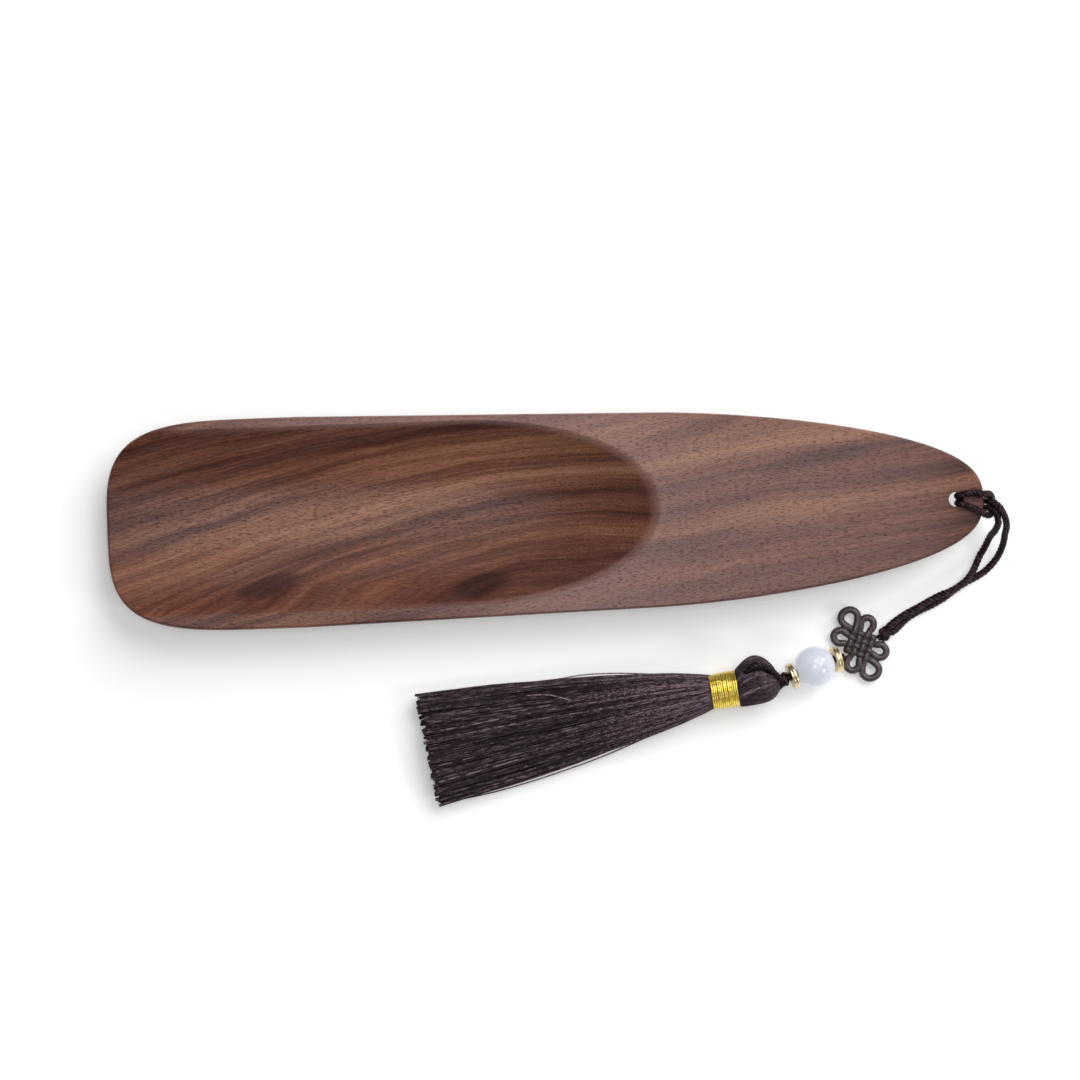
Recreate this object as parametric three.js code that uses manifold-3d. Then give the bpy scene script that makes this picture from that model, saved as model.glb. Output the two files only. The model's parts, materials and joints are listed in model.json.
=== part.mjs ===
// Carved walnut tea scoop with a cord through its tip, from which a charm, a bead and a tassel hang.
// Millimetres. X runs from the mouth to the tip, Y across, Z up; the scoop rests on z = 0.
import * as THREE from 'three';
import { mergeVertices } from 'three/addons/utils/BufferGeometryUtils.js';
import Module from 'manifold-3d';

// Scoop, with stations measured from the mouth
const LENGTH = 170;
const MAX_WIDTH = 40.8;
const SHOULDER_WIDTH = 37.7;
const HEIGHT = 11;
const WIDEST_AT = 38;
const TIP_FROM = 107;
const TIP_POWER = 1.69;
const TIP_FULLNESS = 2.65;
const MOUTH_ROUND = 30.5;
const MOUTH_POWER = 3.5;
const EDGE_ROUND = 1.1;
const HULL_RUN = 9;
const LAND_FROM = 60;
const LAND_TO = 100;
const MOUTH_LIFT = 4.4;
const TIP_LIFT = 5.8;
const TIP_DROP = 1;
const TIP_DROP_FROM = 135;
// Hollow
const HOLLOW_WIDTH = 35.6;
const HOLLOW_END = 107;
const HOLLOW_ROUND = 39;
const HOLLOW_ROUND_POWER = 2.1;
const HOLLOW_WALL_POWER = 3;
const HOLLOW_DEPTH = 6.5;
const MOUTH_DEPTH = 5;
const HOLLOW_ASIDE = 0.7;
// Cord and its hole
const CORD_DIA = 1.2;
const GAP = 0.3;
const HOLE_DIA = 2 * CORD_DIA + 0.8;
const HOLE_INSET = 5.4;
const HOLE_FLARE = 0.4;
// Charm: four by four woven lines
const CHARM_CORD = 1.24;
const CHARM_PITCH = 1.3;
const CHARM_WEAVE = 0.42;
const CHARM_TURN = -22;
const BIG_EAR_TURN = -48;
const CHARM_CORNER = 2.1;
const CHARM_LEAD = 1.15;
const HUNG_FROM_TURN = 20;
const HANGS_TO_TURN = 33;
// Bead string
const KNOT_LENGTH = 2.3;
const KNOT_RING = 0.75;
const KNOT_CLEARANCE = 0.35;
const TOP_KNOT_TURN = 36;
const BEAD_DIA = 8;
const SPACER_DIA = 5.2;
const SPACER_THICK = 1.2;
const SPACER_RIM = 0.4;
const BORE_CLEARANCE = 0.4;
const BORE_DIA = CORD_DIA + 2 * BORE_CLEARANCE;
const CHARM_SIDE_TURN = 16;
const CHARM_SIDE_DIP = 15;
const TASSEL_SIDE_TURN = 20.6;
const TASSEL_SIDE_RISE = 7;
// Tassel
const TASSEL_TURN = 6.5;
const HEAD_CLEARANCE = 0.45;
const HEAD_DIA = 10;
const HEAD_LENGTH = 8;
const HEAD_SQUASH = 0.92;
const HEAD_LEAN = 0.8;
const LOOP_ROLL = 32;
const LOOP_STEPS = 30;
const HEAD_FLUTES = 13;
const NECK_DIA = 5.6;
const BINDING_TURNS = 5;
const BINDING_WIRE = 0.45;
const BINDING_LENGTH = 5.4;
const SKIRT_TURN = 9.6;
const SKIRT_LENGTH = 55;
const SKIRT_END_WIDTH = 21.8;
const SKIRT_SPREAD = 0.62;
const SKIRT_END_HEIGHT = 4.4;
const SKIRT_BACKING = 0.8;
const SKIRT_STRANDS = 346;
const STRAND_ROOT = 0.1;
const STRAND_END = 0.2;

const wasm = await Module();
wasm.setup();
const V = (x, y, z) => new THREE.Vector3(x, y, z);
const rad = THREE.MathUtils.degToRad;
const clamp01 = (t) => Math.min(1, Math.max(0, t));
const smooth = (t) => { const c = clamp01(t); return c * c * (3 - 2 * c); };

// Closed meshes and booleans

function welded(geometry) {
  const bare = new THREE.BufferGeometry();
  bare.setAttribute('position', geometry.attributes.position.clone());
  bare.setIndex(geometry.index ? geometry.index.clone() : null);
  const merged = mergeVertices(bare, 1e-4);
  const ids = merged.index.array;
  const kept = [];
  for (let i = 0; i < ids.length; i += 3) {
    const [a, b, c] = [ids[i], ids[i + 1], ids[i + 2]];
    if (a !== b && b !== c && c !== a) kept.push(a, b, c);
  }
  merged.setIndex(kept);
  return merged;
}

function toSolid(geometry) {
  const g = welded(geometry);
  const make = (tris) => new wasm.Manifold(new wasm.Mesh({
    numProp: 3,
    vertProperties: new Float32Array(g.attributes.position.array),
    triVerts: new Uint32Array(tris),
  }));
  const tris = Array.from(g.index.array);
  const solid = make(tris);
  if (solid.volume() > 0) return solid;
  for (let i = 0; i < tris.length; i += 3) [tris[i], tris[i + 1]] = [tris[i + 1], tris[i]];
  return make(tris);
}

function toGeometry(solid) {
  const mesh = solid.getMesh();
  const g = new THREE.BufferGeometry();
  g.setAttribute('position', new THREE.BufferAttribute(new Float32Array(mesh.vertProperties), 3));
  g.setIndex(Array.from(mesh.triVerts));
  return g;
}

// A grid of points, rows x columns, as indexed triangles
function gridTriangles(rows, columns, first, flip, out) {
  for (let i = 0; i + 1 < rows; i++) {
    for (let j = 0; j + 1 < columns; j++) {
      const a = first + i * columns + j;
      const [b, c, d] = [a + 1, a + columns + 1, a + columns];
      if (flip) out.push(a, b, c, a, c, d);
      else out.push(a, c, b, a, d, c);
    }
  }
}

function indexed(points, tris) {
  const g = new THREE.BufferGeometry();
  g.setAttribute('position', new THREE.Float32BufferAttribute(points.flatMap((p) => [p.x, p.y, p.z]), 3));
  g.setIndex(tris);
  return g;
}

function roundSection(radius, sides) {
  const shape = new THREE.Shape();
  for (let i = 0; i < sides; i++) {
    const a = (2 * Math.PI * i) / sides;
    shape[i ? 'lineTo' : 'moveTo'](radius * Math.cos(a), radius * Math.sin(a));
  }
  return shape;
}

function tube(points, diameter, steps, sides = 8) {
  const path = points instanceof THREE.Curve ? points : new THREE.CatmullRomCurve3(points);
  return new THREE.ExtrudeGeometry(roundSection(diameter / 2, sides), {
    steps, extrudePath: path, bevelEnabled: false,
  });
}

function ring(points, diameter, steps, sides = 6) {
  const path = new THREE.CatmullRomCurve3(points, true);
  return new THREE.TubeGeometry(path, steps, diameter / 2, sides, true);
}

// Places a shape made about +Y so that +Y points along a direction
function along(geometry, origin, direction) {
  const turn = new THREE.Quaternion().setFromUnitVectors(V(0, 1, 0), direction.clone().normalize());
  return geometry.applyQuaternion(turn).translate(origin.x, origin.y, origin.z);
}

// Scoop outline, sections and hollow

function halfWidth(s) {
  const pastWidest = Math.max(0, s - WIDEST_AT) / (TIP_FROM - WIDEST_AT);
  const narrowing = ((MAX_WIDTH - SHOULDER_WIDTH) / 2) * pastWidest;
  const toMouth = clamp01(1 - s / MOUTH_ROUND);
  const toTip = clamp01((s - TIP_FROM) / (LENGTH - TIP_FROM));
  return (MAX_WIDTH / 2 - narrowing) * (1 - toMouth ** MOUTH_POWER) ** (1 / MOUTH_POWER)
    * (1 - toTip ** TIP_POWER) ** (1 / TIP_FULLNESS);
}

const topAt = (s) => HEIGHT - TIP_DROP * clamp01((s - TIP_DROP_FROM) / (LENGTH - TIP_DROP_FROM)) ** 2;

const underAt = (s) => MOUTH_LIFT * clamp01((LAND_FROM - s) / LAND_FROM) ** 2
  + TIP_LIFT * clamp01((s - LAND_TO) / (LENGTH - LAND_TO)) ** 2;

const roundFrom = HOLLOW_END - HOLLOW_ROUND;

function hollowHalf(s) {
  const along01 = clamp01((s - roundFrom) / HOLLOW_ROUND);
  return (HOLLOW_WIDTH / 2) * (1 - along01 ** HOLLOW_ROUND_POWER) ** (1 / HOLLOW_ROUND_POWER);
}

function hollowDepth(s, y) {
  const across = Math.abs(y - HOLLOW_ASIDE) / (HOLLOW_WIDTH / 2);
  const ahead = Math.max(0, s - roundFrom) / HOLLOW_ROUND;
  const out = (across ** HOLLOW_ROUND_POWER + ahead ** HOLLOW_ROUND_POWER) ** (1 / HOLLOW_ROUND_POWER);
  const deepest = MOUTH_DEPTH + (HOLLOW_DEPTH - MOUTH_DEPTH) * smooth(s / roundFrom);
  return deepest * Math.max(0, 1 - out ** HOLLOW_WALL_POWER);
}

const carvedTop = (s, y) => topAt(s) - hollowDepth(s, y);

function stations() {
  const list = [0.04, 0.3, 1.1, 2, 3.4, 5.4, 8, 11.5, 16, 22, 29, 38, 48, 58];
  const steps = 9;
  for (let i = 0; i <= steps; i++) {
    list.push(roundFrom + HOLLOW_ROUND * Math.sin((i / steps) * Math.PI / 2));
  }
  const handle = LENGTH - HOLLOW_END;
  list.push(HOLLOW_END + EDGE_ROUND);
  for (const f of [0.16, 0.34, 0.5, 0.64, 0.75]) list.push(HOLLOW_END + f * handle);
  for (const left of [11.5, 8, 5.4, 3.4, 2, 1.1, 0.45, 0.12, 0.03]) list.push(LENGTH - left);
  return list;
}

// The top's columns follow the hollow's edge and the underside's the hull, and both end on the outline
function scoopBlank() {
  const outline = [];
  const fine = 500;
  for (let i = 0; i <= fine; i++) {
    const s = LENGTH * (0.5 - 0.5 * Math.cos((i / fine) * Math.PI));
    for (const side of [-1, 1]) outline.push([s, side * halfWidth(s)]);
  }
  const nearest = (s, y) => {
    let best = [Infinity, 0];
    for (const [os, oy] of outline) {
      const d = Math.hypot(os - s, oy - y);
      if (d < best[0]) best = [d, carvedTop(os, oy)];
    }
    return best;
  };
  const rows = stations();
  const inner = [0, 0.28, 0.52, 0.72, 0.88, 1];
  const columnsOf = (s) => {
    const w = halfWidth(s);
    const soft = Math.min(EDGE_ROUND, w * 0.3);
    const half = (side) => {
      const edge = w - soft;
      const carved = s < HOLLOW_END + EDGE_ROUND / 2;
      const mouth = carved ? Math.max(hollowHalf(s), EDGE_ROUND / 2) + side * HOLLOW_ASIDE : 0.55 * edge;
      const rim = Math.min(mouth, 0.96 * edge);
      const middle = side * HOLLOW_ASIDE * Math.min(1, w / MAX_WIDTH * 2);
      const list = inner.map((f) => middle + (rim - middle) * f);
      for (const f of [0, 0.65, 1]) list.push(edge + soft * f);
      return list.map((v) => side * v);
    };
    return [...half(-1).reverse(), ...half(1).slice(1)];
  };
  const hull = [0, 0.35, 0.7, 1];
  const bilge = [0.72, 0.46, 0.24, 0.08, 0];
  const columnsUnder = (s) => {
    const w = halfWidth(s);
    const run = Math.min(HULL_RUN, 0.9 * w);
    const half = [...hull.map((f) => (w - run) * f), ...bilge.map((f) => w - run * f)];
    return [...half.map((v) => -v).reverse(), ...half.slice(1)];
  };
  const tops = [];
  const unders = [];
  rows.forEach((s, i) => {
    const end = i === 0 || i === rows.length - 1;
    const w = halfWidth(s);
    const ys = columnsOf(s);
    ys.forEach((y, j) => {
      const away = end || j === 0 || j === ys.length - 1 ? 0 : nearest(s, y)[0];
      const lip = 1 - clamp01(away / EDGE_ROUND);
      tops.push(V(s - LENGTH / 2, y, carvedTop(s, y) - EDGE_ROUND * (1 - Math.sqrt(1 - lip * lip))));
    });
    const seams = tops.slice(-ys.length);
    columnsUnder(s).forEach((y, j) => {
      if (end || j === 0 || j === ys.length - 1) return unders.push(seams[j].clone());
      const [away, crown] = nearest(s, y);
      const belly = 1 - clamp01(away / Math.min(HULL_RUN, 0.9 * w));
      const drop = (crown - EDGE_ROUND - underAt(s)) * Math.sqrt(1 - belly * belly);
      return unders.push(V(s - LENGTH / 2, y, crown - EDGE_ROUND - drop));
    });
  });
  const columns = tops.length / rows.length;
  const tris = [];
  gridTriangles(rows.length, columns, 0, false, tris);
  gridTriangles(rows.length, columns, tops.length, true, tris);
  return indexed([...tops, ...unders], tris);
}

const tipX = LENGTH / 2;
const holeX = tipX - HOLE_INSET;
const holeTop = topAt(LENGTH - HOLE_INSET);

function holeDrill() {
  const r = HOLE_DIA / 2;
  const low = underAt(LENGTH - HOLE_INSET);
  const profile = [
    [0, low - 4], [r + HOLE_FLARE + 4, low - 4], [r + HOLE_FLARE, low], [r, low + HOLE_FLARE + 0.8],
    [r, holeTop - HOLE_FLARE], [r + HOLE_FLARE, holeTop], [r + HOLE_FLARE, holeTop + 2], [0, holeTop + 2],
  ].map(([x, y]) => new THREE.Vector2(x, y));
  return along(new THREE.LatheGeometry(profile, 24), V(holeX, 0, 0), V(0, 0, 1));
}

// Cord: closed end hitched round the tip, then two strands laid side by side

const c = CORD_DIA;
const overTip = topAt(LENGTH) + GAP + c / 2 + 0.1;
const overHole = holeTop + GAP + c / 2;
const noseZ = topAt(LENGTH) - EDGE_ROUND;
const belowTip = underAt(LENGTH - HOLE_INSET) - GAP - c / 2 + 0.6;
const laid = c / 2 + 0.1;

function cordHitch() {
  const inHole = (side, z) => V(holeX, side * 0.6 * c, z);
  const midHole = (belowTip + overTip) / 2;
  const bight = [
    V(holeX + 0.55 * c, 0.58 * c, belowTip), inHole(1, belowTip + 0.7 * c), inHole(1, midHole),
    inHole(1, overHole - 0.9 * c), V(holeX + 0.75 * c, 0.7 * c, overHole),
    V(tipX - 1.7 * c, 0.95 * c, overTip),
    V(tipX, 0.8 * c, overTip - 0.32 * c), V(tipX + 0.9 * c, 0.7 * c, noseZ + 0.42 * c),
    V(tipX + 1.38 * c, 0.1 * c, noseZ - 0.75 * c), V(tipX + 1.46 * c, -0.95 * c, noseZ - c),
    V(tipX + 1.35 * c, -2.1 * c, noseZ - 0.75 * c), V(tipX + 0.8 * c, -2.72 * c, noseZ + 0.42 * c),
    V(tipX - 0.1 * c, -2.5 * c, overTip - 0.32 * c), V(tipX - 1.7 * c, -1.6 * c, overTip),
    V(holeX + 0.75 * c, -0.75 * c, overHole), inHole(-1, overHole - 0.9 * c), inHole(-1, midHole),
    inHole(-1, belowTip + 0.7 * c), V(holeX + 0.55 * c, -0.58 * c, belowTip),
  ];
  const solids = [tube(bight, c, 34), tube(tail(-1), c, 9), tube(tail(1), c, 9)].map(toSolid);
  return toGeometry(wasm.Manifold.union(solids));
}

// From the hole under the tip and up through the bight: side 1 is the strand nearer the scoop
function tail(side) {
  const root = -0.58 * side;
  const aside = -0.94 - 0.61 * side;
  return [
    V(holeX + 0.45 * c, root * c, belowTip + 0.05 * c),
    V(tipX - 2.3 * c, (root + aside) / 2 * c, belowTip + 0.1 * c),
    V(tipX - 0.65 * c, aside * c, belowTip + 0.6 * c),
    V(tipX + 0.55 * c, aside * c, noseZ - 1.55 * c),
    V(tipX + 0.88 * c, (aside - 0.05) * c, noseZ - 0.4 * c),
    V(tipX + 1.16 * c, (aside - 0.15) * c, noseZ + 0.3 * c),
    V(tipX + 1.6 * c, (aside - 0.35) * c, noseZ + 0.55 * c),
  ];
}

// Middle of the two strands, from the tip's edge: x, y, z and half their spacing
const closeBy = (c + GAP) / 2;
const strandRoute = [
  [2 * c + 1.1, -2 * c - 0.9, noseZ + 0.3, closeBy], [2 * c + 0.9, -2 * c - 2.6, 7.2, 0.95],
  [3.05, -6.7, 5, 1.25], [2.85, -8.2, 3.2, 1.5], [1.95, -10.2, 1.7, 1.6], [1, -11.6, 1, 1.6],
  [-0.3, -13.3, laid, 1.25], [-1.7, -14.7, laid, 0.95], [-3.1, -15.75, laid, closeBy],
  [-4.95, -17, laid, closeBy], [-6.8, -18.15, laid, closeBy], [-8.1, -18.75, laid, closeBy],
  [-10.3, -19.9, laid, closeBy], [-12.9, -21.15, laid, closeBy], [-15.2, -22.3, laid, closeBy],
];

const towards = (turn) => V(Math.cos(rad(turn)), Math.sin(rad(turn)), 0);
const charmReach = CHARM_CORNER * Math.SQRT2 + CHARM_CORD / 2;
const charmCentre = V(tipX - 24.5, -27.45, CHARM_CORD / 2 + CHARM_WEAVE + 0.3);
const knotHigh = KNOT_RING + c / 2 + 0.15;
const topKnotAt = charmCentre.clone()
  .addScaledVector(towards(HUNG_FROM_TURN), charmReach + KNOT_CLEARANCE + KNOT_LENGTH / 2).setZ(knotHigh);
const topKnotWay = towards(TOP_KNOT_TURN);

function strand(side) {
  const route = strandRoute.map(([x, y, z, half]) => ({ at: V(tipX + x, y, z), half }));
  const met = topKnotAt.clone().addScaledVector(topKnotWay, KNOT_LENGTH / 2 + KNOT_CLEARANCE);
  route.push({ at: met, half: closeBy });
  const points = route.map(({ at, half }, i) => {
    const before = route[Math.max(0, i - 1)].at;
    const after = route[Math.min(route.length - 1, i + 1)].at;
    const way = after.clone().sub(before).setZ(0).normalize();
    return at.clone().add(V(way.y, -way.x, 0).multiplyScalar(side * half));
  });
  const [last, end] = tail(side).slice(-2);
  const lead = end.clone().sub(last).normalize();
  const start = end.clone().addScaledVector(lead, GAP);
  const straight = (0.6 - 0.35 * side) * c;
  return tube([start, start.clone().addScaledVector(lead, straight), ...points], c, 24);
}

// Tight knot: two tilted turns of the cord round a short core, along a direction
function knot(at, direction, length) {
  const lean = rad(16);
  const spread = Math.max(0.01, (length - c) / 2);
  const turn = (place, tilt) => new THREE.TorusGeometry(KNOT_RING, c / 2, 6, 14)
    .rotateX(Math.PI / 2).rotateZ(tilt).translate(0, place * spread * 0.85, 0);
  const core = new THREE.CylinderGeometry(0.55 * c, 0.55 * c, length, 8);
  const parts = [turn(-1, lean), turn(1, -lean), core].map(toSolid);
  return along(toGeometry(wasm.Manifold.union(parts)), at, direction);
}

// Charm: three interlaced closed cords, fused where they cross

function charm() {
  const n = [0, 1, 2, 3].map((i) => (i - 1.5) * CHARM_PITCH);
  const weave = (i, j, onP) => CHARM_WEAVE * ((i + j) % 2 === 0 ? 1 : -1) * (onP ? 1 : -1);
  const alongP = (i, order) => order.map((j) => V(n[j], n[i], weave(i, j, true)));
  const alongQ = (j, order) => order.map((i) => V(n[j], n[i], weave(i, j, false)));
  const up = [0, 1, 2, 3];
  const down = [3, 2, 1, 0];
  // A loop out along an axis, as distance and half width from its root to its end
  const lobe = (limb, turn, first) => {
    const out = limb.map(([far, half]) => V(far, first * half, 0));
    const back = limb.slice(0, -1).reverse().map(([far, half]) => V(far, -first * half, 0));
    return [...out, ...back].map((p) => p.applyAxisAngle(V(0, 0, 1), rad(turn)));
  };
  const ear = (turn) => lobe([[3, 0.95], [4.15, 1.28], [5.1, 0.8], [5.4, 0]], turn, -1);
  const bigLimb = [[3.7, 0.75], [4.7, 1.4], [5.75, 1.67], [6.7, 1.1], [7.05, 0]];
  const bigEar = (turn) => lobe(bigLimb, turn + BIG_EAR_TURN, 1);
  const reach = CHARM_CORNER * Math.SQRT2;
  const corner = (turn) => lobe([[0.93 * reach, 0.28], [reach, 0]], turn + 45, 1);
  const straight = [...alongP(1, up), ...ear(0), ...alongP(2, down), ...ear(180)];
  const across = [...alongQ(2, up), ...ear(90), ...alongQ(1, down), ...ear(270)];
  const outside = [
    ...alongP(0, up), ...bigEar(0), ...alongQ(3, up), ...corner(0),
    ...alongP(3, down), ...bigEar(180), ...alongQ(0, down), ...corner(180),
  ];
  const rings = [[straight, 44], [across, 44], [outside, 76]];
  const solid = wasm.Manifold.union(rings.map(([way, steps]) => toSolid(ring(way, CHARM_CORD, steps))));
  return toGeometry(solid).rotateZ(rad(CHARM_TURN))
    .translate(charmCentre.x, charmCentre.y, charmCentre.z);
}

// Bead string: places along it follow from the sizes of what it carries

const stringWay = (turn, rise) => V(-1, 0, 0).applyAxisAngle(V(0, 1, 0), rad(rise))
  .applyAxisAngle(V(0, 0, 1), rad(turn));
const beadRadius = BEAD_DIA / 2;
const boreEnd = Math.sqrt(beadRadius ** 2 - (BORE_DIA / 2) ** 2);
const toSpacer = boreEnd + GAP / 2 + SPACER_THICK / 2;
const charmSide = stringWay(CHARM_SIDE_TURN, CHARM_SIDE_DIP).negate();
const tasselSide = stringWay(TASSEL_SIDE_TURN, TASSEL_SIDE_RISE);
const stringStart = charmCentre.clone().addScaledVector(towards(HANGS_TO_TURN), -(charmReach + CHARM_LEAD));
const upperSpacerAt = stringStart.clone().addScaledVector(charmSide, -(SPACER_THICK / 2 + GAP));
const beadAt = upperSpacerAt.clone().addScaledVector(charmSide, -toSpacer).setZ(beadRadius + 0.05);
upperSpacerAt.setZ(beadAt.z + charmSide.z * toSpacer);
const lowerSpacerAt = beadAt.clone().addScaledVector(tasselSide, toSpacer);
const lowerKnotLength = KNOT_LENGTH * 0.75;
const lowerKnotAt = lowerSpacerAt.clone()
  .addScaledVector(tasselSide, SPACER_THICK / 2 + GAP + lowerKnotLength / 2);
const beadWay = tasselSide.clone().sub(charmSide).normalize();

function bead() {
  const turns = 10;
  const from = Math.asin(BORE_DIA / 2 / beadRadius);
  const profile = [];
  for (let i = 0; i <= turns; i++) {
    const a = from + ((Math.PI - 2 * from) * i) / turns;
    profile.push(new THREE.Vector2(beadRadius * Math.sin(a), -beadRadius * Math.cos(a)));
  }
  profile.push(profile[0].clone());
  return along(new THREE.LatheGeometry(profile, 24), beadAt, beadWay);
}

// Spacer with a broad ridge towards the bead and a narrow rim
function spacer(at, direction) {
  const [bore, edge, half] = [BORE_DIA / 2, SPACER_DIA / 2, SPACER_THICK / 2];
  const profile = [new THREE.Vector2(bore, -half)];
  let from = -half;
  for (const wide of [SPACER_THICK - SPACER_RIM, SPACER_RIM]) {
    for (let i = 0; i <= 5; i++) {
      const a = -Math.PI / 2 + (Math.PI * i) / 5;
      const [drop, run] = [wide / 2 * (1 - Math.cos(a)), wide / 2 * (1 + Math.sin(a))];
      profile.push(new THREE.Vector2(edge - drop, from + run));
    }
    from += wide;
  }
  profile.push(new THREE.Vector2(bore, half), profile[0].clone());
  return along(new THREE.LatheGeometry(profile, 24), at, direction);
}

function beadCord() {
  const inBead = (side) => beadAt.clone().addScaledVector(beadWay, side * boreEnd);
  const end = lowerKnotAt.clone().addScaledVector(tasselSide, -(lowerKnotLength / 2 + GAP));
  const start = upperSpacerAt.clone().addScaledVector(charmSide, SPACER_THICK / 2 + CHARM_LEAD);
  return tube([start, upperSpacerAt, inBead(-1), inBead(1), lowerSpacerAt, end], c, 10);
}

// Tassel: silk folded over a loop of the cord, bound below the fold

const tasselWay = V(-Math.cos(rad(TASSEL_TURN)), -Math.sin(rad(TASSEL_TURN)), 0);
const tasselAside = V(-tasselWay.y, tasselWay.x, 0);
const headAt = lowerKnotAt.clone().addScaledVector(tasselSide, lowerKnotLength / 2 + HEAD_CLEARANCE);
headAt.setZ(Math.max(headAt.z, (HEAD_DIA / 2) * HEAD_SQUASH + 0.25));
const neckEnd = HEAD_LENGTH + BINDING_LENGTH;
const leanAt = (t) => HEAD_LEAN * Math.sin(Math.PI * clamp01(t / HEAD_LENGTH));
const onTassel = (t, side, high) => headAt.clone().addScaledVector(tasselWay, t)
  .addScaledVector(tasselAside, side - leanAt(t)).add(V(0, 0, high));

// Loop along one flank of the head, through it and back along the other: shares of the head's size
const loopPoints = [
  [0.12, 0.55], [0.25, 0.78], [0.39, 0.9], [0.51, 0.74], [0.56, 0.28],
  [0.56, -0.28], [0.51, -0.74], [0.39, -0.9], [0.25, -0.78], [0.12, -0.55],
];

function loopPath(trim) {
  const [acrossLoop, upLoop] = [Math.sin(rad(LOOP_ROLL)), Math.cos(rad(LOOP_ROLL))];
  const onLoop = (t, out) => onTassel(t, -out * acrossLoop, out * upLoop);
  const flank = 1.12 * (HEAD_DIA / 2) / Math.hypot(acrossLoop, upLoop / HEAD_SQUASH);
  const inside = loopPoints.map(([t, out]) => onLoop(t * HEAD_LENGTH, out * flank));
  const mouth = (side) => onLoop(-2 * GAP, side * 0.55 * c);
  const points = new THREE.CatmullRomCurve3([mouth(1), ...inside, mouth(-1)]).getSpacedPoints(LOOP_STEPS);
  return points.slice(trim, points.length - trim);
}

function tasselHead() {
  const [h, r, neck] = [HEAD_LENGTH, HEAD_DIA / 2, NECK_DIA / 2];
  const profile = [
    [0, 0], [0.03, 0.18], [0.08, 0.38], [0.16, 0.57], [0.28, 0.75], [0.4, 0.87],
    [0.52, 0.95], [0.64, 0.99], [0.78, 1], [0.9, 0.96], [0.965, 0.86],
  ].map(([t, f]) => [t * h, f * r]);
  profile.push([h, neck], [neckEnd, neck], [neckEnd, 0]);
  const around = 2 * HEAD_FLUTES;
  const points = [];
  for (const [t, radius] of profile) {
    const fluting = 0.035 * smooth(radius / r) * (t < h ? 1 : 0);
    for (let j = 0; j <= around; j++) {
      const a = (2 * Math.PI * (j % around)) / around;
      const here = radius * (1 - (j % 2) * fluting);
      points.push(onTassel(t, here * Math.cos(a), here * Math.sin(a) * (t < h ? HEAD_SQUASH : 1)));
    }
  }
  const tris = [];
  gridTriangles(profile.length, around + 1, 0, false, tris);
  const groove = toSolid(tube(loopPath(0), c + 2 * GAP, LOOP_STEPS));
  return toGeometry(toSolid(indexed(points, tris)).subtract(groove));
}

class Helix extends THREE.Curve {
  getPoint(u, target = new THREE.Vector3()) {
    const radius = NECK_DIA / 2 + GAP + BINDING_WIRE / 2;
    const a = 2 * Math.PI * BINDING_TURNS * u;
    const t = HEAD_LENGTH + BINDING_WIRE + (BINDING_LENGTH - 2 * BINDING_WIRE) * u;
    return target.copy(onTassel(t, radius * Math.cos(a), radius * Math.sin(a)));
  }
}

function goldBinding() {
  const path = new Helix();
  const steps = BINDING_TURNS * 24;
  const points = path.getPoints(steps);
  let least = Infinity;
  points.forEach((p, i) => {
    for (const other of points.slice(i + 12)) least = Math.min(least, p.distanceTo(other) - BINDING_WIRE);
  });
  console.log(`gold binding: least gap to itself ${least.toFixed(2)} mm`);
  return tube(path, BINDING_WIRE, steps, 6);
}

// Skirt: each thread keeps its place in the round neck as the section widens and settles on the table
const skirtWay = V(-Math.cos(rad(SKIRT_TURN)), -Math.sin(rad(SKIRT_TURN)), 0);
const skirtAside = V(-skirtWay.y, skirtWay.x, 0);
const skirtAt = onTassel(neckEnd + 1.5 * GAP, 0, 0);

function skirtPoint(u, across, up, length) {
  const root = NECK_DIA / 2;
  const low = SKIRT_END_HEIGHT / 2;
  const wide = root + (SKIRT_END_WIDTH / 2 - root) * u ** SKIRT_SPREAD;
  const high = low + (root - low) * (1 - u) ** 2;
  const middle = low + 0.4 + (skirtAt.z - low - 0.4) * (1 - u) ** 3;
  return skirtAt.clone().addScaledVector(skirtWay, SKIRT_BACKING + u * length)
    .addScaledVector(skirtAside, wide * across).setZ(middle + high * up);
}

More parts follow.
